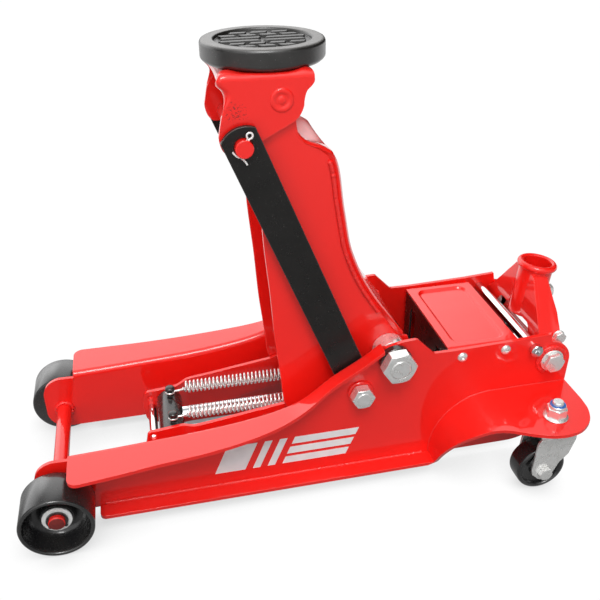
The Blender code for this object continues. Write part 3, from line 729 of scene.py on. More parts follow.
def front_axle():
    body = turned(both_ends([(0, 113), (7.3, 113), (8, 112.3)]), AXLE)
    skin(body, "front_axle", "red_paint", name="front_axle_rod")
    for label, side in SIDES:
        end = flip([(0, 112.6), (7.2, 112.6), (7.2, 113.1), (6.9, 113.3), (0, 113.3)], side)
        # Axle end caps in dark red painted shade.
        dress(turned(end, AXLE), f"axle_end_{label}", "shaded_axle_paint")
        ring = [(x, side * (WEB_IN - 0.6), z) for x, z in arc(AXLE, 9, 0, 356, 60)]
        bead(f"axle_weld_{label}", ring, 2.1, "chassis", side, ripple=2.6)


def main_pivot_end(label, side):
    """Spacer and nut outside one side plate."""
    face = WEB_OUT
    spacer = turned(flip([(11, face), (16.2, face), (16.8, face + 0.6), (16.8, face + 7.4),
                          (16.2, face + 8), (11, face + 8)], side), MAIN)
    dress(spacer, f"main_pivot_spacer_{label}", "black_steel")
    low, high = span(side, face + 8.2, face + 21)
    nut = hex_solid(MAIN, 32, low, high, turn=4)
    drill(nut, 10.9, MAIN, low - 1, high + 1)
    skin(nut, f"main_pivot_nut_{label}", "zinc", bevel=0.35)


def link_bolt(label, side):
    """Lower bolt of one levelling link, with its boss on the side plate."""
    face = WEB_OUT
    boss = flip([(7.3, face - 1), (13.8, face - 1), (13.8, face + 1.7), (12.8, face + 2.7),
                 (10.4, face + 2.7), (10, face + 1.6), (7.3, face + 1.6)], side)
    dress(turned(boss, LINK_LOW), f"link_boss_{label}", "red_paint", bevel=0.3)
    nut = hex_solid(LINK_LOW, 21.5, *span(side, face + 3, face + 14.4), turn=2)
    screw = thread(7.5, LINK_LOW, *span(side, face + 12, face + 15.6), pitch=1.1)
    inner = flip([(0, 57.5), (10.2, 57.5), (11, 58.3), (11, 62.2), (7, 62.2), (7, face + 4),
                  (0, face + 4)], side)
    bolt = merge([nut, screw, turned(inner, LINK_LOW)])
    skin(bolt, f"link_pivot_bolt_{label}", "zinc", bevel=0.3)


def main_shaft():
    half = [(0, 94.5), (9.6, 94.5), (9.9, 93.6), (10.75, 93.5), (10.75, WEB_IN - 0.3),
            (17, WEB_IN - 0.3), (17, 50.4), (10.75, 50.4)]
    skin(turned(both_ends(half), MAIN), "main_pivot_shaft", "zinc", name="main_shaft_skin", bevel=0.25)


def cover_screws(label, side):
    """Button-head screws that hold the cover."""
    face = WEB_OUT
    for place, centre in zip(("front", "rear"), COVER_SCREWS):
        dome = [(5.4 * cos(a), face + 0.5 + 2.9 * sin(a))
                for a in (radians(t) for t in range(10, 66, 9))]
        profile = ([(0, face - 6), (3, face - 6), (3, face), (5.6, face), (5.6, face + 0.5)] + dome
                   + [(0, face + 3.2)])
        head = turned(flip(profile, side), centre, steps=40)
        key = prism(hexagon(centre, 3.2, 12), *span(side, face + 1.4, face + 6))
        combine(head, key, "DIFFERENCE")
        skin(head, f"cover_screw_{place}_{label}", "zinc", sharp=28)


def tie_rod_screw(label, side):
    """Socket-head cap screw at one end of the rear tie rod."""
    face = WEB_OUT
    cap = flip([(0, face - 6), (4, face - 6), (4, face), (6.6, face), (6.8, face + 0.6),
                (6.8, face + 6.2), (6.2, face + 6.9), (0, face + 6.9)], side)
    cap = turned(cap, TIE_ROD, steps=48)
    key = prism(hexagon(TIE_ROD, 5.4, 20), *span(side, face + 2.8, face + 9))
    combine(cap, key, "DIFFERENCE")
    skin(cap, f"tie_rod_screw_{label}", "chrome", sharp=28)


def socket_bolt(label, side):
    """Pivot bolt of the handle socket, on a welded boss."""
    face = WEB_OUT
    ring = [(x, side * (face + 0.2), z) for x, z in arc(SOCKET, 15.5, -80, 250, 60)]
    bead(f"boss_weld_{label}", ring, 2.3, "chassis", side + 3, ripple=4.5)
    boss = flip([(6, face - 0.5), (15.5, face - 0.5), (15, face + 1.2), (13.4, face + 1.8),
                 (6, face + 1.8)], side)
    dress(turned(boss, SOCKET), f"socket_boss_{label}", "red_paint", sharp=50)
    washer = flip([(6, 74.6), (12.6, 74.6), (13, 75), (13, 76.3), (6, 76.3)], side)
    head = hex_solid(SOCKET, 20, *span(side, 76.3, 83.4), turn=8)
    shank = rod(6, SOCKET, *span(side, 58, 77), steps=40)
    bolt = merge([turned(washer, SOCKET), head, shank])
    skin(bolt, f"socket_bolt_{label}", "zinc", bevel=0.3)


def rear_tie_rod():
    half = WEB_IN - 0.2
    skin(rod(5.8, TIE_ROD, -half, half, steps=64), "rear_tie_rod", "chrome")


def cover_plate():
    """Top cover with a pressed panel and down-turned sides, over a front wall painted black as painted
    shade.
    """
    (x0, _, _), (x1, half_width, top) = box("cover_plate")
    middle, half_length = (x0 + x1) / 2, (x1 - x0) / 2
    columns, rows, side_height = 110, 150, 17
    rim, corner, radius, depth = 11, 9, 4, 2.8

    def height(x, y):
        """Sunken panel with sloped walls inside a flat rim, rolled over at the sides."""
        qx = abs(x - middle) - (half_length - rim - corner)
        qy = abs(y) - (half_width - rim - corner)
        d = hypot(max(qx, 0), max(qy, 0)) + min(max(qx, qy), 0) - corner
        panel = -depth / (1 + exp(min(max(d * 2.4, -40), 40)))
        edge = half_width - abs(y)
        roll = -(radius - sqrt(max(radius ** 2 - max(radius - edge, 0) ** 2, 0)))
        return top + panel + roll

    ys = [-half_width * cos(pi * k / rows) for k in range(rows + 1)]
    grid = []
    for i in range(columns + 1):
        x = x0 + (x1 - x0) * i / columns
        ends = [(x, side * half_width, top - side_height) for _, side in SIDES]
        grid.append(ends[:1] + [(x, y, height(x, y)) for y in ys] + ends[1:])
    skin(sheet_metal(grid, 2.2), "cover_plate", "red_paint", bevel=0.5, sharp=45)
    notch_in, notch_out, edge = 32, 47, half_width - 3      # the notch lets the pull links pass
    low, high = top - 60, top - side_height
    half = [(notch_in, low), (notch_in, high), (notch_out, high), (notch_out, low), (edge, low),
            (edge, top - 3)]
    # The front wall is black as painted shade in the dark space under the cover.
    wall = prism(mirrored(half), x0 + 0.4, x0 + 2.6, "X")
    dress(wall, "cover_front_wall_painted_shade", "black_paint", bevel=0.4)


def flip_if_down(obj):
    """Turn a sheet's faces up when more of it faces down."""
    if sum(p.normal.z * p.area for p in obj.data.polygons) < 0:
        obj.data.flip_normals()


def sheet_metal(rows, thickness):
    """Open sheet through rows of points, its thickness below them."""
    sheet = loft(rows, capped=False, closed=False)
    flip_if_down(sheet)
    step = sheet.modifiers.new("thick", "SOLIDIFY")
    step.thickness = thickness * MM
    step.offset = -1
    return sheet


PUMP = (-20, 98)                       # y and z of the pump's axis


def power_unit():
    block = prism([(-34, 22), (34, 22), (40, 30), (40, 96), (30, 112), (-30, 112), (-40, 96), (-40, 30)],
                  415, 490, "X")
    drill(block, 8.3, PUMP, 450, 495, "X")
    skin(block, "power_unit", "black_paint", bevel=3, segments=3)
    lug = prism([(404, 66), (416, 66), (416, 112), (404, 84)], -32, 32)
    dress(lug, "spring_lug", "black_paint", bevel=1)
    plugs = []
    for y, z, r in ((22, 60, 9), (-22, 45, 8), (0, 78, 6)):
        plugs.append(hex_solid((y, z), r * 1.9, 489, 489 + r * 0.8, "X", 15))
        plugs.append(rod(r * 1.25, (y, z), 489, 491.2, "X", steps=64))
    dress(merge(plugs), "power_unit_plugs", "zinc", bevel=0.3)
    gland = [(11.3, 487), (12.6, 487), (12.6, 497), (11.6, 498.5), (8.3, 498.5), (8.3, 487)]
    dress(turned(gland, PUMP, "X"), "pump_gland", "black_steel", bevel=0.3)


def ram_cylinder():
    z = CROSS[1]
    profile = [(0, 392), (20, 392), (20, 262), (11.2, 262), (11.2, 250), (22.5, 250), (24, 251.5),
               (24, 264), (23, 265), (23, 266.5), (24, 267.5), (24, 403), (0, 403)]
    skin(turned(profile, (0, z), "X"), "ram_cylinder", "black_paint", bevel=0.4)


def stripes(label, side):
    """Plain slanted stripes on the side plate."""
    slant, base, tall = 0.42, 30, 34
    bars = []
    for x0, x1, low, high in ((158, 190, 0, 1), (198, 206, 0, 1), (214, 222, 0, 1),
                              (230, 300, 0, 0.26), (230, 300, 0.37, 0.63), (230, 300, 0.74, 1)):
        corners = ((x0, low), (x1, low), (x1, high), (x0, high))
        shape = [(x + slant * tall * share, base + tall * share) for x, share in corners]
        bars.append(prism(shape, *span(side, WEB_OUT - 0.1, WEB_OUT + 0.18)))
    dress(merge(bars), f"stripes_{label}", "vinyl", bevel=0.06, segments=1)


# ---- front wheels ----


def front_wheel(label, side):
    node = f"front_wheel_{label}"
    low, high = box(node)
    r = (high.z - low.z) / 2
    near, out = sorted((abs(low.y), abs(high.y)))
    bowl = spline(((r - 4.4, out - 3), (r - 5, out - 12), (r - 6.4, out - 20), (r - 10.5, out - 25),
                   (r - 15, out - 26.5), (18.2, out - 26), (16.8, out - 23.5), (16.2, out - 16.6)), 4)
    profile = [(8.25, near), (r - 2.6, near), (r - 0.8, near + 0.7), (r, near + 2.4), (r, out - 2.2),
               (r - 0.7, out - 0.7), (r - 2, out), (r - 3.4, out - 0.4), (r - 4.2, out - 1.4)]
    profile += bowl + [(15.6, out - 15.7), (8.25, out - 15.7)]
    skin(turned(flip(profile, side), AXLE, steps=96), node, "black_wheel", sharp=50)


def axle_fittings(label, side):
    """Washer and snap ring that hold a front wheel."""
    washer = flip([(9.3, 105.1), (14.1, 105.1), (14.5, 105.5), (14.5, 106.8), (14.1, 107.1),
                   (9.3, 107.1)], side)
    skin(turned(washer, AXLE), f"axle_washer_{label}", "bright_zinc", bevel=0.15)
    gap = (-50, 230)                   # the ring's open ends, in degrees
    sheet = span(side, 107.4, 108.8)
    clip = prism(arc(AXLE, 10.6, *gap, 40) + arc(AXLE, 8.3, *gap[::-1], 40), *sheet)
    for a in (gap[0] + 6, gap[1] - 6):
        join(clip, prism(arc(arc(AXLE, 10.4, a, a, 1)[0], 1.9, 0, 345, 20), *sheet))
    skin(clip, f"axle_clip_{label}", "black_steel", bevel=0.2)


# ---- casters ----


def caster(label, side):
    cx, cy, _ = JOINTS[f"caster_swivel_{label}"]["pos_m"]
    swivel = (cx / MM - AXLE_X, cy / MM)
    wheel = pivot(f"caster_roll_{label}")
    y = swivel[1]
    node = f"caster_wheel_{label}"
    low, high = box(node)
    r = (high.z - low.z) / 2
    tread = spline(((r - 2, -10.8), (r - 0.5, -9.4), (r, -6), (r, 6), (r - 0.5, 9.4), (r - 2, 10.8)), 4)
    inward = [(r - 3.8, 11.2), (r - 5, 10.4), (r - 6.2, 6.5), (12.5, 5.5), (10, 8), (9, 11.8),
              (4.3, 12.2)]
    profile = flip(inward[::-1], -1) + tread + inward
    body = turned([(q, y + w) for q, w in profile], wheel, steps=72)
    skin(body, node, "black_wheel", sharp=45)
    fork_body = f"caster_body_{label}"
    fork = caster_fork(swivel, wheel)
    skin(fork, f"caster_fork_{label}", "zinc", bevel=0.5)
    race = turned([(6.4, 76.2), (17.5, 76.2), (19.6, 77.4), (20.6, 79.2), (20.9, 81.2), (20.2, 82.6),
                   (6.4, 82.6)], swivel, "Z")
    dress(race, f"caster_race_{label}", "zinc", fork_body, sharp=50)
    heads = []
    for d, turn in ((-1, 0), (1, 24)):
        a, b = sorted((y + d * 16.4, y + d * 21.6))
        heads.append(hex_solid(wheel, 13, a, b, turn=turn))
    heads.append(rod(4, wheel, y - 17, y + 17))
    skin(merge(heads), f"caster_axle_{label}", "zinc", bevel=0.3)
    kingpin(label, swivel)


def caster_fork(swivel, wheel):
    """Sheet fork: a round top that folds down into two tapering legs."""
    x, y = swivel
    wx, wz = wheel
    top = 75.5
    disc = turned([(6.4, top - 2.8), (20.5, top - 2.8), (21.6, top - 1.8), (21.6, top - 0.4),
                   (20.8, top + 0.6), (6.4, top + 0.6)], swivel, "Z", 72)
    parts = [disc]
    for d in (-1, 1):
        leg = ([(x - 20.5, top - 4), (x - 23.5, top - 9), (wx - 14.6, wz + 5), (wx - 13.2, wz - 2)]
               + arc((wx, wz), 10.5, 215, 335, 14) + [(wx + 16, wz + 11), (x + 13, top - 28),
                                                      (x + 18.5, top - 9), (x + 18.5, top - 4)])
        rings = []
        for w in (13.3, 16.3):
            rings.append([(px, y + d * w, pz) for px, pz in leg])
        plate = loft(rings)
        fold = []
        for k in range(9):
            a = radians(90 * k / 8)
            fold.append((13.3 + 3 * cos(a), top - 4 + 4.6 * sin(a)))
        section = fold + [(8, top + 0.6), (8, top - 2.4), (13.3, top - 4)]
        bend = loft([[(x + s, y + d * w, z) for w, z in section] for s in (-20.5, 18.5)])
        parts += [plate, bend]
    return merge(parts)


def kingpin(label, swivel):
    top = WING_TOP
    flange_ring = turned([(6, top + 0.1), (12.2, top + 0.1), (13, top + 0.6), (12.8, top + 1.4),
                          (10.4, top + 2.6), (6, top + 2.6)], swivel, "Z")
    nut = hex_solid(swivel, 19, top + 1.2, top + 12.6, "Z", 12, both=False)
    collar = turned([(6, top + 11.8), (8.9, top + 11.8), (8.6, top + 15.2), (7.8, top + 16),
                     (6, top + 16)], swivel, "Z")
    bolt = thread(6, swivel, top + 8, top + 19.6, "Z", 1.4)
    head = turned([(0, 66), (8, 66), (9, 67), (9, 71.5), (6, 71.5), (6, top + 9), (0, top + 9)], swivel,
                  "Z", 40)
    pin = merge([flange_ring, nut, collar, bolt, head])
    skin(pin, f"caster_kingpin_{label}", "zinc", bevel=0.3)
    ring = turned([(6.1, top + 15.6), (8.1, top + 15.6), (7.7, top + 16.5), (6.1, top + 16.5)], swivel,
                  "Z")
    dress(ring, f"lock_ring_{label}", "nylon")


# ---- lift arm ----

ARM_REAR = spline(((282, 361), (286, 353), (289, 340), (292, 317), (295.5, 296), (300, 271),
                   (306.5, 251), (315.5, 230), (329, 206), (345, 182.5), (361, 160)), 5)
NOTCH = spline(((254, 396), (254.5, 388), (256.5, 381), (262, 374.5), (268, 371), (274, 367.8),
                (279, 364), (282, 361)), 4)
LUG = (287.7, 95.6)            # x and z of the arm's lug pins at rest


def arm_plate(label, side):
    tip = arc(TIP, 15, 190, 62, 16)
    hub = arc(MAIN, 24, 25, -70, 14)
    lug = arc(LUG, 15, -50, -110, 6)
    front = spline(((247, 82), (240, 88), (237, 100), (234.5, 130), (230, 172), (226.5, 225),
                    (221.5, 283), (220.5, 330), (222, 378)), 4)
    outline = tip + NOTCH + ARM_REAR[1:] + hub + lug + front
    plate = prism(outline, *span(side, ARM_IN, ARM_OUT))
    drill(plate, 11, MAIN, *span(side, ARM_IN - 3, ARM_OUT + 3))
    join(plate, rod(8, LUG, *span(side, 38, ARM_IN + 2)))
    skin(plate, f"arm_plate_{label}", "red_paint", bevel=0.8)
    path = [(x - 1.6 * nx, side * (ARM_OUT + 0.7), z - 1.6 * nz) for (x, z),
            (nx, nz) in zip(ARM_REAR, left_normals(ARM_REAR))]
    bead(f"arm_weld_{label}", path[3:44], 2.1, "lift_arm", side + 7, ripple=1.9)


def arm_top():
    """Sheet over the arm's rear edges, dished at its upper end to clear the saddle."""
    path = NOTCH[:-1] + ARM_REAR
    bend_count = len(NOTCH) - 1
    dish_x, dish_run, dish_depth = 271, 8.2, 7.8
    rows = []
    for i, ((x, z), (nx, nz)) in enumerate(zip(path, left_normals(path))):
        share = min(i / bend_count, 1)
        sink = 1.6 * (1 - share) + dish_depth * exp(-((x - dish_x) / dish_run) ** 2)
        over = ARM_OUT + 2.6 * share ** 2
        row = []
        for k in range(41):
            y = -over + 2 * over * k / 40
            corner = max(0, abs(y) - (over - 2)) / 2
            out = 0.4 + 4.9 * share ** 2 - sink * (1 - min(abs(y) / 42, 1) ** 2)
            out -= 2 * (1 - sqrt(max(0, 1 - corner ** 2)))
            row.append((x + nx * out, y, z + nz * out))
        rows.append(row)
    skin(sheet_metal(rows, 4.5), "arm_top_plate", "red_paint", name="arm_top_skin", bevel=0.5, sharp=50)


def arm_hub():
    profile = both_ends([(11, 45.6), (17, 45.6)])
    skin(turned(profile, MAIN), "arm_hub", "red_paint", bevel=0.5)


# ---- saddle and links ----

EAR_FRONT = spline(((188.6, 440), (186.6, 435), (186.1, 430), (187, 426.6), (190.5, 423), (192.4, 418.5),
                    (191.4, 411), (188.7, 401), (186.5, 390), (185.6, 384), (187.5, 376), (191, 371),
                    (197, 367)), 3)
EAR_REAR = spline(((265, 440), (268.2, 435.6), (268.7, 431.6), (268.5, 427.6), (265.4, 423.7),
                   (262.6, 421.2), (260.9, 417.2), (259.8, 411.8), (259.1, 406.4), (253.5, 397.2),
                   (239, 389), (223, 380.5), (210, 369)), 3)


def bracket_section(z_step=1.2, low_z=369, bend=5):
    """(y, z, outward y, outward z, share of the deck's way in), from foot to foot over the deck."""
    turn_z = DECK_TOP - bend
    count = int((turn_z - low_z) / z_step)
    column = [(EAR_OUT, low_z + (turn_z - low_z) * k / count, 1, 0, 0) for k in range(count + 1)]
    for c, s in arc((0, 0), 1, 0, 90, 8)[1:]:
        column.append((EAR_OUT - bend + bend * c, turn_z + bend * s, c, s, 0))
    for k in range(1, 17):
        column.append(((EAR_OUT - bend) * (1 - k / 16), DECK_TOP, 0, 1, k / 16))
    return [(-y, z, -c, s, h) for y, z, c, s, h in column] + column[::-1][1:]


def curl(gap, height, inward):
    """How far the pressed front edge curls in, tighter near the bend than on the ear and the deck."""
    share = ease((height - 404) / 22)
    near_bend = 1 - abs(height - DECK_TOP + 2.5) / 9 if inward < 0.01 else 1 - inward * 2.5
    tight = min(1, max(near_bend, 0) * 1.6)
    radius = 9 * share * (1 - tight) + 4.6 * min(max((height - 404) / 22, 0), 1) * tight
    if gap >= radius:
        return 0
    return radius - sqrt(max(radius ** 2 - (radius - gap) ** 2, 0))


def saddle_bracket():
    """One pressed sheet: ear, bend, deck, bend, ear."""
    front_edge, rear_edge = ([(z, x) for x, z in edge[::-1]] for edge in (EAR_FRONT, EAR_REAR))
    rows = []
    for y, z, out_y, out_z, inward in bracket_section():
        bow = 3 * sin(inward * pi / 2)
        front, rear = at(front_edge, z) + bow, at(rear_edge, z) - bow
        near_top = min(max((z - DECK_TOP + 9) / 9, 0), 1) ** 2
        row = []
        for k in range(37):
            x = front + (rear - front) * (1 - cos(pi * k / 36)) / 2
            corner = max(exp(-((x - 196) / 8) ** 2), exp(-((x - 260) / 7) ** 2))
            pillow = 2.4 * corner * near_top * exp(-((abs(y) - 44) / 8.5) ** 2)
            turn = curl(x - front, z, inward)
            row.append((x, y - out_y * turn, z + pillow - out_z * turn))
        rows.append(row)
    skin(sheet_metal(rows, 4), "saddle_bracket", "scuffed_paint", bevel=0.6, sharp=55)


def saddle_pivot_pin():
    half = [(0, 56.1), (2.6, 56), (3.4, 55.3), (4.4, 54.9), (5.6, 55.2), (6.8, 56.1), (8.2, 56.35),
            (9.4, 56), (10.2, 55.3), (10.6, 54.6), (8, 54)]
    skin(turned(both_ends(half), TIP), "saddle_pivot_pin", "red_paint", name="saddle_pin_skin", sharp=70)


def link_pin():
    half = [(0, 68), (7.2, 68), (8, 67.2), (8, 0.1)]
    skin(turned(both_ends(half), LINK_UP), "link_pin", "red_paint")


def cotter(label, side):
    """Split pin: an eye above the pin, two legs through it and bent apart below."""
    lean = radians(65)
    along = Vector((cos(lean), 0, sin(lean)))
    across = Vector((-sin(lean), 0, cos(lean)))
    centre = Vector((LINK_UP[0], side * 64.5, LINK_UP[1]))
    wires = []
    for s in (-1, 1):
        points = [centre - along * (8.6 + 0.6 * t - 3 * s * t * t) + across * s * (0.7 + 7.2 * t)
                  for t in (k / 8 for k in range(8, -1, -1))]
        points += [centre + across * s * 0.7, centre + along * 9 + across * s * 0.7]
        eye = centre + along * 12
        for k in range(9):
            a = radians(-150 + 150 * k / 8)
            points.append(eye + 2.6 * (cos(a) * along + sin(a) * across * -s))
        wires.append(wire(points, 0.9))
    skin(merge(wires), f"cotter_pin_{label}", "bright_zinc", sharp=60)


def link_bar(label, side):
    """Flat bar with a crowned upper end and a joggle near its lower bolt."""
    dx, dz = LINK_LOW[0] - LINK_UP[0], LINK_LOW[1] - LINK_UP[1]
    length = hypot(dx, dz)
    heading = degrees(atan2(dz, dx))
    half_width, crown_r = 16.5, 24
    joggle_start, joggle_run, joggle = length - 62, 34, 6.2
    half = degrees(asin(half_width / crown_r))
    back = crown_r - 17.5
    crown = (LINK_UP[0] + back * dx / length, LINK_UP[1] + back * dz / length)
    outline = (arc(crown, crown_r, heading + 180 - half, heading + 180 + half, 20) + arc(LINK_LOW,
                                                                                         half_width,
                                                                                         heading - 90,
                                                                                         heading + 90,
                                                                                         24))
    bar = prism(outline, *span(side, 56.5, 61.5))
    drill(bar, 8.45, LINK_UP, *span(side, 50, 75))
    cuts = [joggle_start + joggle_run * k / 10 for k in range(11)]
    cut_lines(bar, (LINK_UP[0], 0, LINK_UP[1]), (dx, 0, dz), cuts)

    def bent(x, y, z):
        along = ((x - LINK_UP[0]) * dx + (z - LINK_UP[1]) * dz) / length
        return x, y + side * joggle * ease((along - joggle_start) / joggle_run), z

    move_points(bar, bent)
    skin(bar, f"link_bar_{label}", "black_paint", bevel=0.55, sharp=30)


def saddle():
    top, r, under = SADDLE_TOP, SADDLE_R, SADDLE_UNDER
    profile = [(0, top - 28.2), (12, top - 28.2), (13, top - 27.2), (13, under), (r - 4.4, under)]
    profile += [(r - 3.2, under + 0.3), (r - 1.2, under + 2), (r - 0.2, under + 3.4), (r, under + 4.6)]
    profile += [(r, top - 3.2), (r - 0.4, top - 2), (r - 1.2, top - 0.8), (r - 2.6, top - 0.1)]
    profile += [(r - 4, top), (44.4, top), (43.4, top - 0.4), (42.8, top - 1.4), (42.4, top - 3),
                (0, top - 3.2)]
    parts = [turned(profile, (SADDLE_X, 0), "Z", 144)]
    floor = top - 3.4
    for row, (y, count) in enumerate(((-30, 3), (-19, 4), (-7.5, 2), (4, 2), (15.5, 4), (27, 3))):
        reach = sqrt(38 ** 2 - y ** 2)
        length = (2 * reach - 4 * (count - 1)) / count
        for k in range(count):
            x0 = SADDLE_X - reach + k * (length + 4)
            skew = 2.4 if row % 2 else -2.4
            x1 = x0 + length
            low = [(x0, y - 3.1), (x1, y - 3.1), (x1 + skew, y + 3.1), (x0 + skew, y + 3.1)]
            middle = (x0 + length / 2 + skew / 2, y)
            high = [(px + (middle[0] - px) * 0.05, py + (y - py) * 0.22) for px, py in low]
            rings = ((low, floor), (high, top - 0.9))
            parts.append(loft([[(px, py, pz) for px, py in ring] for ring, pz in rings]))
    skin(merge(parts), "saddle", "rubber", bevel=0.3, sharp=45)


# ---- ram ----


def ram():
    x, z = CROSS
    body = turned([(0, x + 13), (11, x + 13), (11, 263), (19.5, 263), (19.5, 275), (0, 275)], (0, z),
                  "X")
    skin(body, "ram_rod", "chrome")
    half = [(0, 37.4), (7.4, 37.4), (8, 36.8), (8, 33), (12.6, 33), (14, 31.6), (14, 0.1)]
    barrel = turned(both_ends(half), CROSS, steps=96)
    posts = []
    for _, side in SIDES:
        profile = [(0, z + 4), (4.6, z + 13), (4, z + 15.5), (3.4, z + 16.2), (3.4, z + 18.6),
                   (5, z + 19.4), (5.4, z + 20.2), (5.4, z + 22.6), (4.9, z + 23.6), (3.4, z + 24.4),
                   (0, z + 24.6)]
        posts.append(turned(profile, (x + 2, side * 23), "Z", 48))
    skin(merge([barrel] + posts), "crosshead", "black_steel", bevel=0.3, sharp=50)


def pull_link(label, side):
    """Plate from the tie pin to the arm's lug, joggled out behind the crosshead."""
    joggle_start, joggle_run, joggle = 128, 17, 7.5
    rear = arc((LUG[0] + 6, LUG[1] - 10.7), 26, -60, 90, 16)
    top = [(241, 88), (204, 83), (170, 78), (145, 75), (128, 72), (103, 69.4)]
    front = arc((99, 63.4), 6, 80, 175, 8) + [(90, 50), (92.5, 34)] + arc((101, 32), 7, 190, 265, 6)
    outline = [(150, 30), (240, 48)] + rear + top + front
    plate = prism(outline, *span(side, 33.5, 37.5))
    drill(plate, 3.2, (99, 62.5), *span(side, 30, 42), steps=32)
    cut_lines(plate, (joggle_start, 0, 0), (1, 0, 0), [joggle_run * k / 8 for k in range(9)])
    move_points(plate, lambda x, y, z: (x, y + side * joggle * ease((x - joggle_start) / joggle_run), z))
    slot = []
    for x, z, start in ((1.3, 0, 0), (-3.8, 0, 90), (-3.8, -21.5, 180), (1.3, -21.5, 270)):
        slot += arc((LUG[0] + x, LUG[1] + z), 8.8, start, start + 90, 8)
    combine(plate, prism(slot, *span(side, 36, 50)), "DIFFERENCE")
    skin(plate, f"pull_link_{label}", "red_paint", bevel=0.6)


def front_tie_pin():
    half = [(0, 39.5), (4.2, 39.5), (4.75, 38.9)]
    skin(turned(both_ends(half), (100, 48)), "front_tie_pin", "chrome")


def return_spring(label, side):
    """Close-wound spring with hooks, stretched between a crosshead post and the rear lug."""
    y, z, coil_r, pitch, steps = side * 23, CROSS[1] + 21.4, 6, 4.4, 18
    post, front, rear, lug = CROSS[0] + 2, CROSS[0] + 16, 396, 403
    points = [(post - px, y + py, z - 4 + 0.02 * k) for k,
              (px, py) in enumerate(arc((0, 0), 4.5, -200, 0, 12))]
    points.append((post + 9, y - 1, z - 3))
    total = round((rear - front) / pitch) * steps
    for k in range(total + 1):
        a = tau * k / steps
        grow = min(1, k / steps, (total - k) / steps + 0.15)
        points.append((front + (rear - front) * k / total, y + coil_r * grow * sin(a), z - 3 * (1 - grow)
                       + coil_r * grow * cos(a)))
    points += [(rear + 4, y, z - 2), (rear + 9, y, z - 2)]
    spring = wire(points, 1.2)
    skin(spring, f"return_spring_{label}", "zinc", sharp=60)
    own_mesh(spring)


# ---- handle socket and pump ----

LEAN = radians(6.8)


def to_socket(obj):
    """Move a piece made about the pivot (x and z from the pivot) into place, leaning back."""
    turn = Matrix.Rotation(LEAN, 3, "Y")

    def rule(x, y, z):
        p = turn @ Vector((x, y, z))
        return p.x + SOCKET[0], p.y, p.z + SOCKET[1]

    return move_points(obj, rule)


def to_pivot(obj):
    """Move a piece made about the pivot into place, upright."""
    return move_points(obj, lambda x, y, z: (x + SOCKET[0], y, z + SOCKET[1]))


YOKE_X, YOKE_TOP, YOKE_FOOT = -13.2, 72, 22     # yoke's front face, and its slope's heights
ROLLER = (12.9, -15.3)                          # pump push bar from the socket pivot


def yoke_half_width(z):
    """|y| of the yoke's sloping edge at height z over the pivot."""
    return 19.5 + (YOKE_TOP - z) * 0.788


def yoke_gusset(side):
    """Flared plate that joins the yoke to one of its ears."""
    rings = []
    for x, top, flare in ((YOKE_X + 0.2, (yoke_half_width(YOKE_TOP), YOKE_TOP), 0),
                          (4, (yoke_half_width(YOKE_TOP), YOKE_TOP), 0), (12, (42, 43), 3)):
        rows = [top, (60.5, 20.5 + flare), (60.5, 8), (57, 8), (56.4, 20 + flare), (top[0] - 4, top[1])]
        rings.append([(x, side * y, z) for y, z in rows])
    gusset = loft(rings)
    roughen(gusset, side)
    return gusset


def handle_socket():
    tube_r, bore, top, minor = 18.4, 15.5, 79.3, 3.7
    lip = [(18.3 + minor * cos(a), top + minor * sin(a))
           for a in (radians(t) for t in range(-80, 141, 11))]
    profile = ([(0, 19), (tube_r - 1, 19), (tube_r, 20)] + [(tube_r, top - 6), (tube_r + 0.3, top - 4.2)]
               + lip + [(bore, top - 1.5), (bore, 25), (0, 25)])
    tube = turned(profile, (0, 0), "Z", 96)
    slope = [(yoke_half_width(z), z) for z in (YOKE_FOOT, 47, YOKE_TOP)]
    notch = [(15, 27), (15, YOKE_FOOT + 2.5), (17.5, YOKE_FOOT), (31, YOKE_FOOT), (34.5, 19.5),
             (37, 14.5)]
    half = notch + [(46, 7), (56, -2), (62.5, -2), (62.5, 19)] + slope
    web = prism(mirrored(half), YOKE_X, YOKE_X + SHEET, "X")
    drill(web, bore + 0.4, (0, 0), 20, 90, "Z")
    for part in (tube, web):
        to_socket(part)
    parts = [tube, web]
    for _, side in SIDES:
        ear = [(YOKE_X, 0), (YOKE_X, 19), (4, 20), (9, 16)] + arc((0, 0), 14, 40, -90, 14) + [(-9, -12)]
        leaning = [yoke_gusset(side), prism(ear, *span(side, 60, 65.5))]
        for part in leaning:
            to_socket(part)
        parts += leaning
        pusher = arc(ROLLER, 8, -140, 40, 14) + [(10, 6), (-10, -6)]
        parts.append(to_pivot(prism(pusher, *span(side, 60, 65.5))))
    parts.append(to_pivot(rod(5, ROLLER, -62, 62)))
    skin(merge(parts), "handle_socket", "red_paint", bevel=0.7, sharp=40)


def yoke_screw(label, side):
    """Screw through the yoke's flared edge, above the pivot bolt."""
    low, high = span(side, 60.8, 66.4)
    head = hex_solid((9.5, 21.5), 12, low, high, turn=22)
    washer = turned(flip([(0, 60.2), (6.9, 60.2), (7.2, 60.6), (7.2, 61.4), (0, 61.4)], side),
                    (9.5, 21.5))
    screw = merge([head, washer])
    to_socket(screw)
    dress(screw, f"yoke_screw_{label}", "zinc", "socket", bevel=0.3)


def roughen(obj, seed):
    """Grind-marked, spattered weld surface on a subdivided plate."""
    bm = bmesh.new()
    bm.from_mesh(obj.data)
    bmesh.ops.triangulate(bm, faces=[f for f in bm.faces if len(f.verts) > 4])
    bmesh.ops.subdivide_edges(bm, edges=bm.edges[:], cuts=5, use_grid_fill=True)
    bm.normal_update()
    for v in bm.verts:
        p = v.co / MM
        amount = 0.45 * noise.noise(p * 0.22 + Vector((seed, 0, 0))) + 0.3 * noise.noise(p * 0.7)
        v.co += v.normal * amount * MM
    bm.to_mesh(obj.data)
    bm.free()


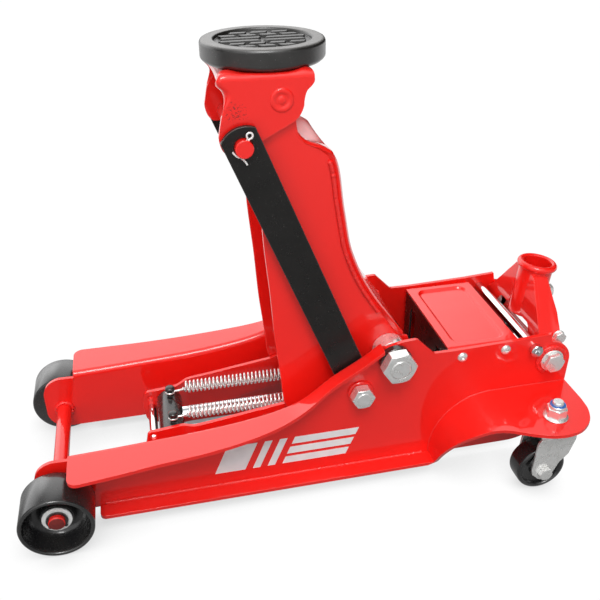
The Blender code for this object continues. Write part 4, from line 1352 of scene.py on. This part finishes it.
def clamp_screw():
    head = hex_solid((0, 45), 13, 21.5, 27.4, "X", 10)
    shank = turned([(0, 17), (3.5, 17), (3.5, 22), (0, 22)], (0, 45), "X", 32)
    washer = turned([(0, 18.6), (7.2, 18.6), (7.2, 20.2), (0, 20.2)], (0, 45), "X", 48)
    screw = merge([head, shank, washer])
    to_socket(screw)
    skin(screw, "handle_clamp_screw", "zinc", bevel=0.3)


def middle_yz(node):
    """(y, z) of the middle of a CAD node that lies along X."""
    low, high = box(node)
    return ((low.y + high.y) / 2, (low.z + high.z) / 2)


def pump_plunger():
    tip = box("pump_plunger")[1].x
    profile = [(0, 477), (8, 477), (8, tip - 4), (10, tip - 4), (11, tip - 3.2), (11, tip - 1),
               (9.6, tip), (0, tip)]
    skin(turned(profile, middle_yz("pump_plunger"), "X"), "pump_plunger", "chrome")


def plunger_spring():
    """Coil round the plunger, squashed by the pump stroke."""
    y, z = middle_yz("pump_plunger")
    coil_r, steps, total = 10, 16, 96
    seat, start, end = 499, 499.5, box("pump_plunger")[1].x - 5
    points = [(start + (end - start) * k / total, y + coil_r * sin(tau * k / steps), z
               + coil_r * cos(tau * k / steps)) for k in range(total + 1)]
    coil = wire(points, 0.9)
    dress(coil, "plunger_spring", "zinc", sharp=60)
    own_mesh(coil)


def release_valve():
    """Spindle that ends in the fork of a universal joint."""
    y, z = middle_yz("release_valve")
    spindle = [(0, 482), (5, 482), (5, 511), (8, 513), (8.5, 514), (8.5, 519), (0, 519)]
    parts = [turned(spindle, (y, z), "X")]
    jaw = [(517, z - 7), (526, z - 5), (528, z), (526, z + 5), (517, z + 7)]
    for side in (-1, 1):
        parts.append(prism(jaw, *span(side, 4, 7.5)))
    skin(merge(parts), "release_valve", "black_steel", bevel=0.5)


# ---- stage ----


def build_stage():
    bm = bmesh.new()
    half = 6000
    corners = [(-half, -half), (half, -half), (half, half), (-half, half)]
    bm.faces.new([bm.verts.new((x, y, -0.2)) for x, y in corners])
    floor = add_object(bm)
    flip_if_down(floor)
    floor.name = "floor"
    floor.data.materials.append(FINISHES["floor_paper"])
    build_world()


# Soft lights of the studio: azimuth (0 is +Y, 90 is +X), elevation, strength, and the angles from a
# light's middle between which it fades out.
LIGHTS = ((0, 34, 1.75, 8, 40), (180, 60, 1.3, 8, 40), (190, 58, 11, 9, 13), (0, 88, 0.4, 8, 40),
          (270, 60, 0.6, 8, 40), (315, 8, 1.8, 8, 40), (180, 8, 0.5, 8, 40), (135, 8, 0.4, 8, 40),
          (225, 8, 0.6, 8, 40), (225, 34, 0.5, 8, 40))


def build_world():
    """Light comes from soft round patches of sky; the camera sees plain white."""
    n = Nodes("studio", "worlds")
    way = n.add("TexCoord").outputs["Generated"]
    total = 0
    for azimuth, elevation, strength, core, edge in LIGHTS:
        a, e = radians(azimuth), radians(elevation)
        centre = (sin(a) * cos(e), cos(a) * cos(e), sin(e))
        fade = (cos(radians(edge)), cos(radians(core)))
        patch = n.ramp(n.measure("DOT_PRODUCT", way, centre), *fade, 0, strength, "SMOOTHSTEP")
        total = n.math("ADD", total, patch)
    seen = n.add("LightPath").outputs["Is Camera Ray"]
    light = n.add("Mix", {"Factor": seen, "A": total, "B": WHITE}).outputs["Result"]
    background = n.tree.nodes["Background"].inputs
    n.feed(background["Strength"], light)
    n.feed(background["Color"], (1, 1, 1))
    bpy.context.scene.world = n.owner


def build_camera():
    """Camera that looks down along the jack from its front left."""
    yaw, pitch, roll = (radians(a) for a in (12.54, 30.28, -0.42))
    forward = Vector((sin(yaw) * cos(pitch), cos(yaw) * cos(pitch), -sin(pitch)))
    level = Vector((cos(yaw), -sin(yaw), 0))
    upright = level.cross(forward)
    right = cos(roll) * level + sin(roll) * upright
    up = -sin(roll) * level + cos(roll) * upright
    camera = bpy.data.cameras.new("camera")
    camera.lens, camera.sensor_width = 45.1, 36
    camera.clip_start, camera.clip_end = 0.01, 50
    obj = bpy.data.objects.new("camera", camera)
    bpy.context.scene.collection.objects.link(obj)
    turn = Matrix((right, up, -forward)).transposed().to_4x4()
    place = Vector((118 + AXLE_X, -669.2, 586.4)) * MM
    obj.matrix_world = Matrix.Translation(place) @ turn
    bpy.context.scene.camera = obj


# ---- assembly ----

for label, side in SIDES:
    for make in (side_plate, foot_rail, main_pivot_end, link_bolt, cover_screws, tie_rod_screw,
                 socket_bolt, stripes, front_wheel, axle_fittings, caster, arm_plate, link_bar,
                 cotter, pull_link, return_spring, yoke_screw):
        make(label, side)
for make in (front_axle, main_shaft, rear_tie_rod, cover_plate, power_unit, ram_cylinder, arm_top,
             arm_hub, saddle_bracket, saddle_pivot_pin, link_pin, saddle, ram, front_tie_pin,
             handle_socket, clamp_screw, pump_plunger, plunger_spring, release_valve, build_stage,
             build_camera):
    make()
bpy.context.scene.view_settings.view_transform = "Standard"
